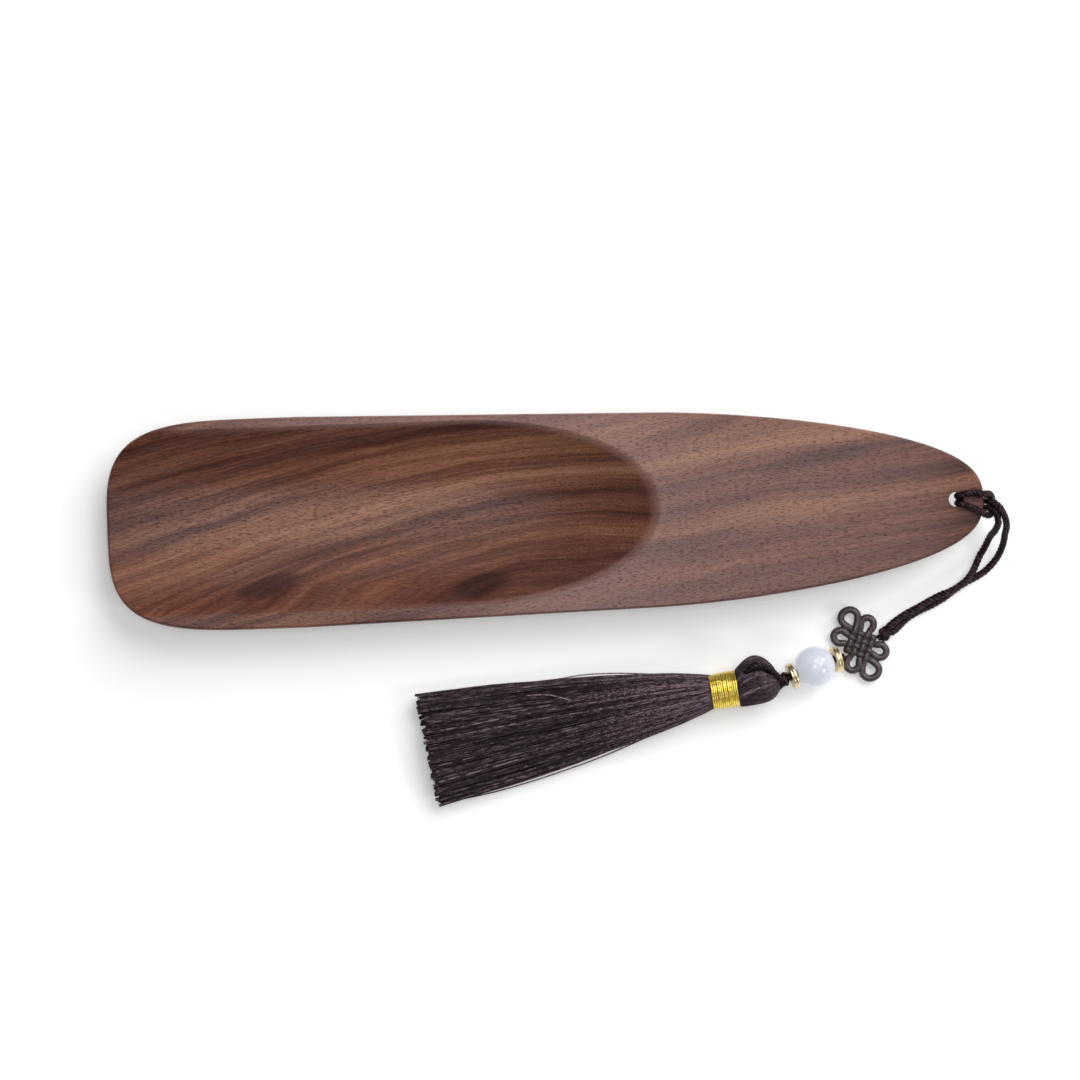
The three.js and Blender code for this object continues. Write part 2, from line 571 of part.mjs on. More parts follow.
// Half of the skirt: a slice of the neck, with each thread growing out of its own opening in the front
function skirt(side) {
  const root = NECK_DIA / 2;
  const margin = Math.asin(GAP / 2 / root);
  const arc = 18;
  const rim = [];
  for (let i = 0; i <= arc; i++) {
    const a = margin + ((Math.PI - 2 * margin) * i) / arc;
    rim.push(new THREE.Vector2(Math.cos(a), side * Math.sin(a)));
  }
  if (side < 0) rim.reverse();
  const threads = [];
  for (let i = 0; i < SKIRT_STRANDS; i++) {
    const r = 0.93 * Math.sqrt((i + 0.5) / SKIRT_STRANDS);
    const a = i * Math.PI * (3 - Math.sqrt(5));
    const [across, up] = [r * Math.cos(a), r * Math.sin(a)];
    const length = SKIRT_LENGTH - 0.7 * ((i * 0.37) % 1);
    if (up * root * side > GAP / 2 + STRAND_ROOT) threads.push({ across, up, length });
  }
  const corner = ({ across, up, length }, u, j) => {
    const radius = STRAND_ROOT + (STRAND_END - STRAND_ROOT) * u;
    const a = (2 * Math.PI * j) / 3 + Math.PI / 2;
    return skirtPoint(u, across, up, length).addScaledVector(skirtAside, radius * Math.cos(a))
      .add(V(0, 0, radius * Math.sin(a)));
  };
  const flat = (p) => new THREE.Vector2(p.clone().sub(skirtAt).dot(skirtAside), p.z - skirtAt.z);
  const front = rim.map((p) => skirtPoint(0, p.x, p.y, 0));
  const roots = threads.map((thread) => [0, 1, 2].map((j) => corner(thread, 0, j)));
  const points = [...front, ...roots.flat()];
  const plan = points.map(flat);
  const faces = THREE.ShapeUtils.triangulateShape(front.map(flat), roots.map((three) => three.map(flat)));
  const tris = faces.flatMap(([i, j, k]) => (
    plan[j].clone().sub(plan[i]).cross(plan[k].clone().sub(plan[i])) > 0 ? [i, j, k] : [i, k, j]));
  const back = points.length;
  points.push(...front.map((p) => p.clone().addScaledVector(skirtWay, -SKIRT_BACKING)));
  for (const [i, j, k] of THREE.ShapeUtils.triangulateShape(front.map(flat), [])) {
    tris.push(back + i, back + k, back + j);
  }
  front.forEach((_, i) => {
    const next = (i + 1) % front.length;
    tris.push(back + i, back + next, next, back + i, next, i);
  });
  threads.forEach((thread, n) => {
    let ringAt = front.length + 3 * n;
    for (const u of [0.27, 1]) {
      const after = points.length;
      points.push(...[0, 1, 2].map((j) => corner(thread, u, j)));
      for (let j = 0; j < 3; j++) {
        const k = (j + 1) % 3;
        tris.push(ringAt + j, ringAt + k, after + k, ringAt + j, after + k, after + j);
      }
      ringAt = after;
    }
    tris.push(ringAt, ringAt + 1, ringAt + 2);
  });
  return indexed(points, tris);
}

// Assembly

const finish = (color, roughness, metalness = 0) => (
  () => new THREE.MeshStandardMaterial({ color, roughness, metalness }));
const walnut = finish(0x6f4a38, 0.5);
const cordSilk = finish(0x3a2b30, 0.6);
const resin = finish(0x4b413e, 0.4);
const gilt = finish(0xc9a55a, 0.25, 1);
const moonstone = finish(0xd6dbe8, 0.2);

const root = new THREE.Group();
root.name = 'tea_scoop';

function piece(name, geometry, material) {
  const clean = welded(geometry);
  clean.computeVertexNormals();
  const mesh = new THREE.Mesh(clean, material());
  mesh.name = name;
  root.add(mesh);
}

piece('scoop_body', toGeometry(toSolid(scoopBlank()).subtract(toSolid(holeDrill()))), walnut);
piece('cord_hitch', cordHitch(), cordSilk);
piece('strand_inner', strand(1), cordSilk);
piece('strand_outer', strand(-1), cordSilk);
piece('top_knot', knot(topKnotAt, topKnotWay, KNOT_LENGTH), cordSilk);
piece('endless_knot_charm', charm(), resin);
piece('upper_spacer', spacer(upperSpacerAt, charmSide), gilt);
piece('bead', bead(), moonstone);
piece('lower_spacer', spacer(lowerSpacerAt, tasselSide), gilt);
piece('bead_cord', beadCord(), cordSilk);
piece('lower_knot', knot(lowerKnotAt, tasselSide, lowerKnotLength), cordSilk);
piece('tassel_loop', tube(loopPath(1), c, LOOP_STEPS - 2), cordSilk);
piece('tassel_head', tasselHead(), cordSilk);
piece('gold_binding', goldBinding(), gilt);
piece('skirt_upper', skirt(1), cordSilk);
piece('skirt_lower', skirt(-1), cordSilk);

export default root;
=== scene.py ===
# Carved walnut tea scoop with a cord through its tip, from which a charm, a bead and a tassel hang.
# Sizes and places are in millimetres, and a piece becomes metres as its mesh is made.
import json
import math

import bpy
import numpy as np
from mathutils import Matrix, Vector


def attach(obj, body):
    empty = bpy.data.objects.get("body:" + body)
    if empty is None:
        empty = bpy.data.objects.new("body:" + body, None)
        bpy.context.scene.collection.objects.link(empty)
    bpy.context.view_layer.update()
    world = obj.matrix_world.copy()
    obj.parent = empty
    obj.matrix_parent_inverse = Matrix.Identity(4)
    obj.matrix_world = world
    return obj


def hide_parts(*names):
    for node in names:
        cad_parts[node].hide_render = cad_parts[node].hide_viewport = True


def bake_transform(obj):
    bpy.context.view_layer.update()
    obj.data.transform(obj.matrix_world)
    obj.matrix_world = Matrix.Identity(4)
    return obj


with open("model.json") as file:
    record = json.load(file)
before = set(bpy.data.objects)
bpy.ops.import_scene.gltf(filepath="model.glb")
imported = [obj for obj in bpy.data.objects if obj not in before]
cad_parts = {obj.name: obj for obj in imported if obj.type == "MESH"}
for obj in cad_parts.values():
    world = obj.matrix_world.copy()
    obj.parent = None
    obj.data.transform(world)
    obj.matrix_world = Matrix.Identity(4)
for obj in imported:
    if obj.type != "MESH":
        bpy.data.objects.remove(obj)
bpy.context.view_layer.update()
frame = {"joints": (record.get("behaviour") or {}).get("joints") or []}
scene = bpy.context.scene

MM = 0.001
UP = Vector((0, 0, 1))
JOINTS = {joint["name"]: joint for joint in frame["joints"]}

# Scoop, with stations measured from the mouth
LENGTH = 170.0
WIDEST_AT = 38
TIP_FROM = 107
TIP_POWER = 1.69
TIP_FULLNESS = 2.65
MOUTH_ROUND = 30.5
MOUTH_POWER = 3.5
EDGE_ROUND = 1.1
LIP_RUN = 0.5
HULL_RUN = 9
LAND_FROM = 60
LAND_TO = 100
MOUTH_LIFT = 4.4
TIP_LIFT = 5.8
TIP_DROP = 1
TIP_DROP_FROM = 135
HOLLOW_ROUND_FROM = 68
HOLLOW_ROUND = 39
HOLLOW_ROUND_POWER = 2.1
HOLLOW_WALL_POWER = 3
HOLLOW_ASIDE = 0.7
HOLLOW_CREASE = 0.05
SPINE_FROM = 22
SPINE_TO = 150
RING_SPREAD = 0.25
HULL_SHARE = 0.9
WALL_SHADE = (0.35, 0.95)
RIM_SHADE = (0.985, 1.01)
SEAM_MERGE = 0.02
CREASE_ANGLE = 50
# Hole in the tip
TIP_X = LENGTH / 2
HOLE_X = TIP_X - 5.4
HOLE_RADIUS = 1.42
HOLE_FLARE = 0.06
HOLE_TOP = 10.285
HOLE_LOW = 4.94
HOLE_THROAT = 0.8
DRILL_PAST_TOP = 2
DRILL_PAST_LOW = 4
DRILL_SIDES = 48
# Cord
CORD = 1.2
GAP = 0.3
OVER_TIP = 11.0
OVER_HOLE = 11.185
BELOW_TIP = 4.64
NOSE_Z = 8.9
LAID = 0.73
CLOSE_BY = 0.69
KNOT_LENGTH = 2.3
KNOT_RING = 0.75
KNOT_CLEARANCE = 0.35
KNOT_HIGH = 1.5
KNOT_TURNS = 2.25
KNOT_STEPS = 44
KNOT_SLANT = 0.22
TOP_KNOT_TURN = 36
# Charm
CHARM_AT = Vector((60.5, -27.45, 1.34))
CHARM_CORD = 1.24
CHARM_PITCH = 1.3
CHARM_WEAVE = 0.42
CHARM_TURN = -22
BIG_EAR_TURN = -48
CHARM_CORNER = 2.1 * math.sqrt(2)
CHARM_LEAD = 1.15
CHARM_RIDGE = 0.12
CHARM_VOXEL = 0.07
CHARM_SOFTENING = 0.5
LATTICE_WITHIN = 2.4
EARS_FROM = 3.8
HUNG_FROM_TURN = 20
# Bead and spacers
BEAD_DIA = 8.0
SPACER_DIA = 5.2
SPACER_THICK = 1.2
SPACER_RIM = 0.4
BORE_DIA = 2.0
BORE_LIP = 0.16
BORE_EASING = [(0.02, 0.06), (0.14, 0)]
BEAD_STEPS = 40
TURNED_SIDES = 64
# Tassel
TASSEL_TURN = 6.5
HEAD_CLEARANCE = 0.45
HEAD_FRONT = 0.3
HEAD_DIA = 10.0
HEAD_LENGTH = 8.0
HEAD_FULLEST = 0.55
HEAD_SQUASH = 0.92
HEAD_LEAN = 0.8
HEAD_ROUND = 2.2
HEAD_BLUNT = 0.6
CLEFT_FADES = (0.55, 0.9)
CLEFT_WIDTH = 0.3
BED_FADES = (0.5, 1.5)
CORE_MERGE = 0.002
LOOP_ROLL = 40
LOOP_OUT = 1.12
NECK_RADIUS = 2.8
BINDING_LENGTH = 5.4
SKIRT_TURN = 9.6
SKIRT_LENGTH = 55.0
SKIRT_BACKING = 0.8
SKIRT_LIFT = 0.4
SKIRT_LOWEST = 0.2
THREAD_ROOT = 0.7
STRAY_STEP = 1.5
# Camera, lights and floor, in metres
CAMERA_AT = (-0.00106, -0.00504, 1.2)
CAMERA_TURN = -2.0
CAMERA_LENS = 205.16
CAMERA_SENSOR = 36
FLOOR_SIZE = 8
FLOOR_GLOW = 0.2
WHITE = (1, 1, 1, 1)
BLACK = (0, 0, 0, 1)
ENERGY_OF_RADIANCE = 4
WORLD_FILL = 0.22
HORIZON = (0.08, 0.25)
# Place, size and radiance of each softbox
SOFTBOXES = {
    "overhead": ((0, 0, 1.3), 0.36, 6),
    "key": ((0.6, 0.65, 0.95), 1.1, 3),
    "upper_right": ((0.85, 0.63, 0.38), 0.2, 11),
    "lower_right": ((0.85, -0.41, 0.55), 0.24, 9),
}


# Node trees written as expressions

class Socket:
    """Output of a node; arithmetic on it adds Math nodes to its graph."""

    def __init__(self, graph, output):
        self.graph = graph
        self.output = output

    def part(self, name):
        return Socket(self.graph, self.output.node.outputs[name])


def arithmetic(operation, reflected):
    if reflected:
        return lambda this, other: this.graph.math(operation, other, this)
    return lambda this, other: this.graph.math(operation, this, other)


OPERATORS = {"add": "ADD", "sub": "SUBTRACT", "mul": "MULTIPLY", "truediv": "DIVIDE", "pow": "POWER"}
for word, operation in OPERATORS.items():
    setattr(Socket, f"__{word}__", arithmetic(operation, False))
    setattr(Socket, f"__r{word}__", arithmetic(operation, True))


class Graph:
    """Node tree to which expressions add nodes."""

    def __init__(self, tree):
        self.tree = tree

    def node(self, kind, inputs=(), output=0, stops=(), **settings):
        made = self.tree.nodes.new(kind)
        for name, value in settings.items():
            setattr(made, name, value)
        for i, (place, colour) in enumerate(stops):
            ramp = made.color_ramp.elements
            if i == 0:
                ramp.remove(ramp[1])
            element = ramp.new(place) if i else ramp[0]
            element.position = place
            element.color = (*colour, 1)
        for name, value in dict(inputs).items():
            self.feed(made.inputs[name], value)
        return Socket(self, made.outputs[output])

    def feed(self, target, value):
        for one in value if isinstance(value, list) else [value]:
            if isinstance(one, Socket):
                self.tree.links.new(one.output, target)
            else:
                target.default_value = one

    def math(self, operation, *values, clamp=False):
        return self.node("ShaderNodeMath", dict(enumerate(values)), operation=operation, use_clamp=clamp)

    def clamp(self, value):
        return self.math("ADD", value, 0, clamp=True)

    def smooth(self, value, low=0, high=1):
        share = self.clamp((value - low) / (high - low))
        return share * share * (3 - 2 * share)

    def sin(self, turns):
        return self.math("SINE", turns * math.tau)

    def cos(self, turns):
        return self.math("COSINE", turns * math.tau)

    def vector(self, x, y, z):
        return self.node("ShaderNodeCombineXYZ", {0: x, 1: y, 2: z})

    def xyz(self, vector):
        split = self.node("ShaderNodeSeparateXYZ", {0: vector})
        return [split, split.part("Y"), split.part("Z")]

    def vectors(self, operation, *values, output=0):
        return self.node("ShaderNodeVectorMath", dict(enumerate(values)), output, operation=operation)

    def scaled(self, vector, scale):
        return self.node("ShaderNodeVectorMath", {0: vector, "Scale": scale}, operation="SCALE")

    def noise(self, place, scale=1.0, detail=2.0, rough=0.5):
        inputs = {"Vector": place, "Scale": scale, "Detail": detail, "Roughness": rough}
        return self.node("ShaderNodeTexNoise", inputs)

    def mix(self, share, first, second):
        return self.node("ShaderNodeMix", {0: share, 6: first, 7: second}, 2, data_type="RGBA")

    def ramp(self, value, stops):
        return self.node("ShaderNodeValToRGB", {0: value}, stops=stops)

    def attribute(self, name, output="Fac"):
        return self.node("ShaderNodeAttribute", output=output, attribute_name=name)

    def random(self, key, low, high, seed):
        return self.node("FunctionNodeRandomValue", {2: low, 3: high, "ID": key, "Seed": seed}, 1)

    def moved(self, geometry, place, socket="Position"):
        return self.node("GeometryNodeSetPosition", {"Geometry": geometry, socket: place})

    def marked(self, geometry, name, value, kind="FLOAT"):
        inputs = {"Geometry": geometry, "Name": name, "Value": value}
        return self.node("GeometryNodeStoreNamedAttribute", inputs, data_type=kind, domain="POINT")

    def joined(self, *parts):
        return self.node("GeometryNodeJoinGeometry", {0: list(parts)})

    def in_frame(self, start, axes, amounts):
        """Place reached from a start by these amounts along these axes."""
        steps = list(zip(axes, amounts))
        return self.vector(*(start[i] + sum(axis[i] * amount for axis, amount in steps) for i in range(3)))


SOCKET_KINDS = {int: "Int", float: "Float"}


def geometry_tree(name, sizes):
    """Tree with a geometry, one named input for each size, and a material; gives its graph and inputs."""
    tree = bpy.data.node_groups.new(name, "GeometryNodeTree")

    def socket(label, kind, in_out="INPUT"):
        return tree.interface.new_socket(label, in_out=in_out, socket_type=f"NodeSocket{kind}")

    socket("Geometry", "Geometry")
    for label, value in sizes.items():
        socket(label, SOCKET_KINDS[type(value)]).default_value = value
    socket("Material", "Material")
    socket("Geometry", "Geometry", "OUTPUT")
    graph = Graph(tree)
    start = tree.nodes.new("NodeGroupInput")
    return graph, {made.name: Socket(graph, made) for made in start.outputs if made.name}


def end_tree(g, size, mesh):
    """Smooth shading, metres, real geometry and the material, at the end of a tree in millimetres."""
    mesh = g.node("GeometryNodeSetShadeSmooth", {"Geometry": mesh})
    mesh = g.node("GeometryNodeTransform", {"Geometry": mesh, "Scale": (MM, MM, MM)})
    mesh = g.node("GeometryNodeRealizeInstances", {"Geometry": mesh})
    mesh = g.node("GeometryNodeSetMaterial", {"Geometry": mesh, "Material": size["Material"]})
    end = g.tree.nodes.new("NodeGroupOutput")
    g.feed(end.inputs[0], mesh)
    return g.tree


def baked(holder):
    """Plain mesh of an object with its modifiers, in place of the object."""
    depsgraph = bpy.context.evaluated_depsgraph_get()
    mesh = bpy.data.meshes.new_from_object(holder.evaluated_get(depsgraph), depsgraph=depsgraph)
    bpy.data.objects.remove(holder)
    return mesh


def shown(name, data):
    made = bpy.data.objects.new(name, data)
    scene.collection.objects.link(made)
    return made


def grown(name, tree, material, base=None, **sizes):
    """Mesh that a tree grows from a base mesh, with the sizes that differ from the tree's own."""
    holder = shown(name, base or bpy.data.meshes.new(name))
    modifier = holder.modifiers.new(name, "NODES")
    modifier.node_group = tree
    values = {**sizes, "Material": material}
    for item in tree.interface.items_tree:
        if item.in_out == "INPUT" and item.name in values:
            modifier[item.identifier] = values[item.name]
    return baked(holder)


# Routes

SPAN_STEPS = 24
LEAST_SPAN = 1e-6


def smooth_route(points, step=0.2, closed=False):
    """Even points on a smooth curve through given points, without overshoot between close ones."""
    given = [np.array(p, float) for p in points]
    if closed:
        held = [given[-1], *given, given[0], given[1]]
    else:
        held = [2 * given[0] - given[1], *given, 2 * given[-1] - given[-2]]
    fine = []
    for a, b, c, d in zip(held, held[1:], held[2:], held[3:]):
        pairs = ((a, b), (b, c), (c, d))
        lead, span, trail = (max(np.linalg.norm(q - p) ** 0.5, LEAST_SPAN) for p, q in pairs)
        out = span * ((b - a) / lead - (c - a) / (lead + span) + (c - b) / span)
        into = span * ((c - b) / span - (d - b) / (span + trail) + (d - c) / trail)
        for u in np.linspace(0, 1, SPAN_STEPS, endpoint=False):
            fine.append(b + u * (out + u * (3 * (c - b) - 2 * out - into + u * (out + into - 2 * (c - b)))))
    fine = np.array(fine + [given[0] if closed else given[-1]])
    run = np.concatenate([[0], np.cumsum(np.linalg.norm(np.diff(fine, axis=0), axis=1))])
    even = np.linspace(0, run[-1], max(2, round(run[-1] / step) + 1))
    route = np.stack([np.interp(even, run, fine[:, i]) for i in range(3)], axis=1)
    return route[:-1] if closed else route


def line_mesh(name, routes, closed=False):
    """Mesh of edges only, one line for each route."""
    points = []
    edges = []
    for route in routes:
        first = len(points)
        points.extend(map(tuple, route))
        edges.extend((i, i + 1) for i in range(first, len(points) - 1))
        if closed:
            edges.append((len(points) - 1, first))
    mesh = bpy.data.meshes.new(name)
    mesh.from_pydata(points, edges, [])
    return mesh


# Trees

def ring_grid(g, around, rings):
    """Grid to bend into rings, with each point's turn and its share of the way across the rings."""
    sides = {"Size X": 1, "Size Y": 1, "Vertices X": around + 1, "Vertices Y": rings}
    turn, share, _ = g.xyz(g.node("GeometryNodeInputPosition"))
    return g.node("GeometryNodeMeshGrid", sides), turn + 0.5, share + 0.5


def half_width(g, s, size):
    past_widest = g.math("MAXIMUM", s - WIDEST_AT, 0) / (TIP_FROM - WIDEST_AT)
    half = size["Width"] / 2 - (size["Width"] - size["Shoulder Width"]) / 2 * past_widest
    to_mouth = g.clamp(1 - s / MOUTH_ROUND)
    to_tip = g.clamp((s - TIP_FROM) / (size["Length"] - TIP_FROM))
    mouth = (1 - to_mouth ** MOUTH_POWER) ** (1 / MOUTH_POWER)
    return half * mouth * (1 - to_tip ** TIP_POWER) ** (1 / TIP_FULLNESS)


def out_of_hollow(g, s, y, size):
    """Share of the way from the hollow's middle to its rim."""
    across = g.math("ABSOLUTE", y - HOLLOW_ASIDE) / (size["Hollow Width"] / 2)
    ahead = g.math("MAXIMUM", s - HOLLOW_ROUND_FROM, 0) / HOLLOW_ROUND
    return (across ** HOLLOW_ROUND_POWER + ahead ** HOLLOW_ROUND_POWER) ** (1 / HOLLOW_ROUND_POWER)


def carved_top(g, s, y, size):
    """Height of the top with the hollow carved into it, its rim a little softened."""
    deeper = g.smooth(s / HOLLOW_ROUND_FROM)
    deepest = size["Mouth Depth"] + (size["Hollow Depth"] - size["Mouth Depth"]) * deeper
    inside = 1 - out_of_hollow(g, s, y, size) ** HOLLOW_WALL_POWER
    carved = deepest * g.math("SMOOTH_MAX", inside, 0, HOLLOW_CREASE)
    drop = g.clamp((s - TIP_DROP_FROM) / (size["Length"] - TIP_DROP_FROM)) ** 2
    return size["Height"] - TIP_DROP * drop - carved


def carved_scoop():
    """Two ring grids on the scoop's outline, one carved as the top and one rounded as the hull."""
    g, size = geometry_tree("carved_scoop", {
        "Length": LENGTH, "Width": 40.8, "Shoulder Width": 37.7, "Height": 11.0, "Hollow Width": 35.6,
        "Hollow Depth": 6.5, "Mouth Depth": 5.0, "Around": 800, "Top Rings": 66, "Hull Rings": 26,
    })

    def outline(turn):
        s = size["Length"] * (0.5 - 0.5 * g.cos(turn))
        return s, g.math("SIGN", g.sin(turn)) * half_width(g, s, size)

    edge = g.node("GeometryNodeMeshCircle", {"Vertices": size["Around"]})
    edge = g.moved(edge, g.vector(*outline(g.node("GeometryNodeInputIndex") / size["Around"]), 0))

    def face(rings, height):
        flat, turn, inward = ring_grid(g, size["Around"], rings)
        s, y = outline(turn)
        spine = g.math("MINIMUM", g.math("MAXIMUM", s, SPINE_FROM), SPINE_TO)
        share = RING_SPREAD * inward + (1 - RING_SPREAD) * inward ** 3
        flat = g.moved(flat, g.vector(s + (spine - s) * share, y * (1 - share), 0))
        near = g.node("GeometryNodeProximity", {"Geometry": edge}, target_element="EDGES")
        s, y, _ = g.xyz(g.node("GeometryNodeInputPosition"))
        edge_s, edge_y, _ = g.xyz(near)
        z = height(s, y, near.part("Distance"), carved_top(g, edge_s, edge_y, size) - EDGE_ROUND)
        out = out_of_hollow(g, s, y, size)
        # Mask of the hollow's walls, on which the walnut's tone is painted a little lighter as painted light
        flat = g.marked(flat, "wall", g.smooth(out, *WALL_SHADE) * (1 - g.smooth(out, *RIM_SHADE)))
        return g.moved(flat, g.vector(s - size["Length"] / 2, y, z))

    def top(s, y, away, seam):
        lip = 1 - g.clamp(away / LIP_RUN)
        return carved_top(g, s, y, size) - EDGE_ROUND * (1 - (1 - lip ** 2) ** 0.5)

    def hull(s, y, away, seam):
        run = g.math("MINIMUM", HULL_RUN, HULL_SHARE * half_width(g, s, size))
        belly = 1 - g.clamp(away / run)
        under = MOUTH_LIFT * g.clamp((LAND_FROM - s) / LAND_FROM) ** 2
        under = under + TIP_LIFT * g.clamp((s - LAND_TO) / (size["Length"] - LAND_TO)) ** 2
        return seam - (seam - under) * (1 - belly ** 2) ** 0.5

    carved = g.node("GeometryNodeFlipFaces", {"Mesh": face(size["Top Rings"], top)})
    both = g.joined(carved, face(size["Hull Rings"], hull))
    both = g.node("GeometryNodeMergeByDistance", {"Geometry": both, "Distance": SEAM_MERGE})
    return end_tree(g, size, both)


def swept(g, size, lines, radius, scale=1.0):
    """Round section along placed lines, marked with the place round it."""
    ring = {"Resolution": size["Sides"], "Radius": radius}
    ring = g.node("GeometryNodeCurvePrimitiveCircle", ring)
    around = g.vectors("NORMALIZE", g.node("GeometryNodeInputPosition"))
    ring = g.marked(ring, "round", around, "FLOAT_VECTOR")
    inputs = {"Curve": lines, "Profile Curve": ring, "Scale": scale, "Fill Caps": True}
    return g.node("GeometryNodeCurveToMesh", inputs)


def laid_cord():
    """Plies twisted round each line of the base, with their place round and along for the fibres."""
    g, size = geometry_tree("laid_cord", {
        "Diameter": 1.42, "Lay": 2.6, "Plies": 3, "Ply Offset": 0.225, "Ply Radius": 0.28,
        "Ply Phase": 11.0, "Step": 0.14, "Sides": 8,
    })
    path = g.node("GeometryNodeMeshToCurve", {"Mesh": size["Geometry"]})
    path = g.node("GeometryNodeResampleCurve", {"Curve": path, "Length": size["Step"]}, mode="LENGTH")
    copies = {"Geometry": path, "Amount": size["Plies"]}
    plies = g.node("GeometryNodeDuplicateElements", copies, domain="SPLINE")
    ply = plies.part("Duplicate Index")
    along = g.node("GeometryNodeSplineParameter", output="Length")
    plies = g.marked(plies, "along", along + size["Ply Phase"] * ply)
    turn = along / size["Lay"] + ply / size["Plies"]
    normal = g.node("GeometryNodeInputNormal")
    side = g.vectors("CROSS_PRODUCT", g.node("GeometryNodeInputTangent"), normal)
    out = size["Ply Offset"] * size["Diameter"]
    offset = g.vectors("ADD", g.scaled(normal, out * g.cos(turn)), g.scaled(side, out * g.sin(turn)))
    plies = g.moved(plies, offset, "Offset")
    return end_tree(g, size, swept(g, size, plies, size["Ply Radius"] * size["Diameter"]))


def moulded_charm():
    """Round tubes along the closed lines of the base, finer in the lattice, with a thin sheet behind the
    lattice as painted shade between its bars.
    """
    g, size = geometry_tree("moulded_charm", {
        "Diameter": CHARM_CORD, "Lattice": 0.9, "Ears": 1.12, "Shade Sheet": 4.7, "Shade Sheet Thickness": 0.5, "Sides": 16,
    })
    path = g.node("GeometryNodeMeshToCurve", {"Mesh": size["Geometry"]})
    here = g.node("GeometryNodeInputPosition")
    away = g.vectors("DISTANCE", here, CHARM_AT, output="Value")
    scale = size["Lattice"] + (size["Ears"] - size["Lattice"]) * g.smooth(away, LATTICE_WITHIN, EARS_FROM)
    tubes = swept(g, size, path, size["Diameter"] / 2, scale)
    # Painted shade: a thin sheet of the charm's dark resin behind the lattice, showing in the gaps between
    # its bars in place of their shade
    shade_sheet = g.node("GeometryNodeMeshCube", {"Size": g.vector(size["Shade Sheet"], size["Shade Sheet"], size["Shade Sheet Thickness"])})
    shade_sheet = g.node("GeometryNodeTransform", {
        "Geometry": shade_sheet, "Translation": CHARM_AT, "Rotation": (0, 0, math.radians(CHARM_TURN)),
    })
    return end_tree(g, size, g.joined(tubes, shade_sheet))


def threads(g, size):
    """Copies of one straight line of points, with each copy's number and the share along it."""
    line = g.node("GeometryNodeCurvePrimitiveLine", {"End": (1, 0, 0)})
    line = g.node("GeometryNodeResampleCurve", {"Curve": line, "Count": size["Steps"]}, mode="COUNT")
    copies = {"Geometry": line, "Amount": size["Threads"]}
    copies = g.node("GeometryNodeDuplicateElements", copies, domain="SPLINE")
    return copies, copies.part("Duplicate Index"), g.node("GeometryNodeSplineParameter")


def silk_head():
    """Silk folded over the loop of the base: threads from the neck to the fold, on a close core."""
    g, size = geometry_tree("silk_head", {
        "Threads": 190, "Steps": 20, "Sides": 5, "Thread": 0.3, "Head Length": HEAD_LENGTH,
        "Head Radius": 0.95 * HEAD_DIA / 2, "Neck Radius": NECK_RADIUS - 0.15,
        "Neck Length": BINDING_LENGTH, "Lean": HEAD_LEAN + 0.25, "Shoulder": 0.75, "Cleft": 0.22,
        "Bed": 0.7, "Twist": 0.05, "Around": 120, "Along": 70, "Wave": 0.008, "Overlap": 1.04, "Core": 0.94,
    })
    length = size["Head Length"]

    def on_head(t, turn, shrink):
        """Place on the head: t along it from the fold, turn round it from the loop's flank."""
        share = g.clamp((t + HEAD_FRONT) / (length + HEAD_FRONT))
        swell = (1 - (1 - g.clamp(share / HEAD_FULLEST)) ** HEAD_ROUND) ** HEAD_BLUNT
        past = g.clamp((share - HEAD_FULLEST) / (1 - HEAD_FULLEST))
        narrowing = 1 - (1 - size["Shoulder"]) * past ** 2
        near_loop = g.math("ABSOLUTE", g.sin(turn))
        cleft = size["Cleft"] * (1 - g.smooth(share, *CLEFT_FADES))
        cleft = cleft * (1 - g.smooth(near_loop, 0, CLEFT_WIDTH))
        radius = size["Head Radius"] * swell * narrowing * (1 - cleft)
        radius = (radius + (size["Neck Radius"] - radius) * g.smooth(t, length - 0.1, length + 0.35)) * shrink
        lean = size["Lean"] * g.math("SINE", share * math.pi)
        flat = 1 - (1 - HEAD_SQUASH) * (1 - g.smooth(share, 0.8, 1))
        angle = turn + (90 + LOOP_ROLL) / 360
        return g.in_frame(HEAD_AT, (TASSEL_WAY, TASSEL_ASIDE, UP),
                          (t, radius * g.cos(angle) - lean, radius * flat * g.sin(angle)))

    def bedded(silk):
        """Silk pressed in towards the head's middle beside the loop."""
        here = g.node("GeometryNodeInputPosition")
        near = g.node("GeometryNodeProximity", {"Geometry": size["Geometry"]}, target_element="EDGES")
        t = g.vectors("DOT_PRODUCT", g.vectors("SUBTRACT", here, HEAD_AT), TASSEL_WAY, output="Value")
        middle = g.vectors("ADD", HEAD_AT, g.scaled(TASSEL_WAY, t))
        inward = g.vectors("NORMALIZE", g.vectors("SUBTRACT", middle, here))
        depth = size["Bed"] * (1 - g.smooth(near.part("Distance"), *BED_FADES))
        return g.moved(silk, g.scaled(inward, depth), "Offset")

    lines, number, along = threads(g, size)
    jitter = g.random(number, -0.5, 0.5, 3)
    turn = (number + jitter) / size["Threads"] + size["Twist"] * along
    wave = size["Wave"] * g.sin(along * 1.5 + g.random(number, 0, 1, 4))
    layer = g.random(number, 0.95, 1, 5) + wave
    lines = g.marked(lines, "along", along * 9 + g.random(number, 0, 5, 6))
    lines = g.marked(lines, "tone", 0.08 + 0.42 * g.random(number, 0, 1, 7) ** 3)
    covered = length * size["Overlap"]
    folded = covered - (covered + HEAD_FRONT) * along
    lines = g.moved(lines, on_head(folded, turn, layer - 0.02))
    core, turn, share = ring_grid(g, size["Around"], size["Along"])
    closed = g.math("LESS_THAN", share, 0.999)
    run = share * (length + size["Neck Length"] + HEAD_FRONT) - HEAD_FRONT
    core = g.moved(core, on_head(run, turn, size["Core"] * closed))
    core = g.node("GeometryNodeMergeByDistance", {"Geometry": core, "Distance": CORE_MERGE})
    silk = g.joined(bedded(core), swept(g, size, bedded(lines), size["Thread"] / 2))
    return end_tree(g, size, silk)


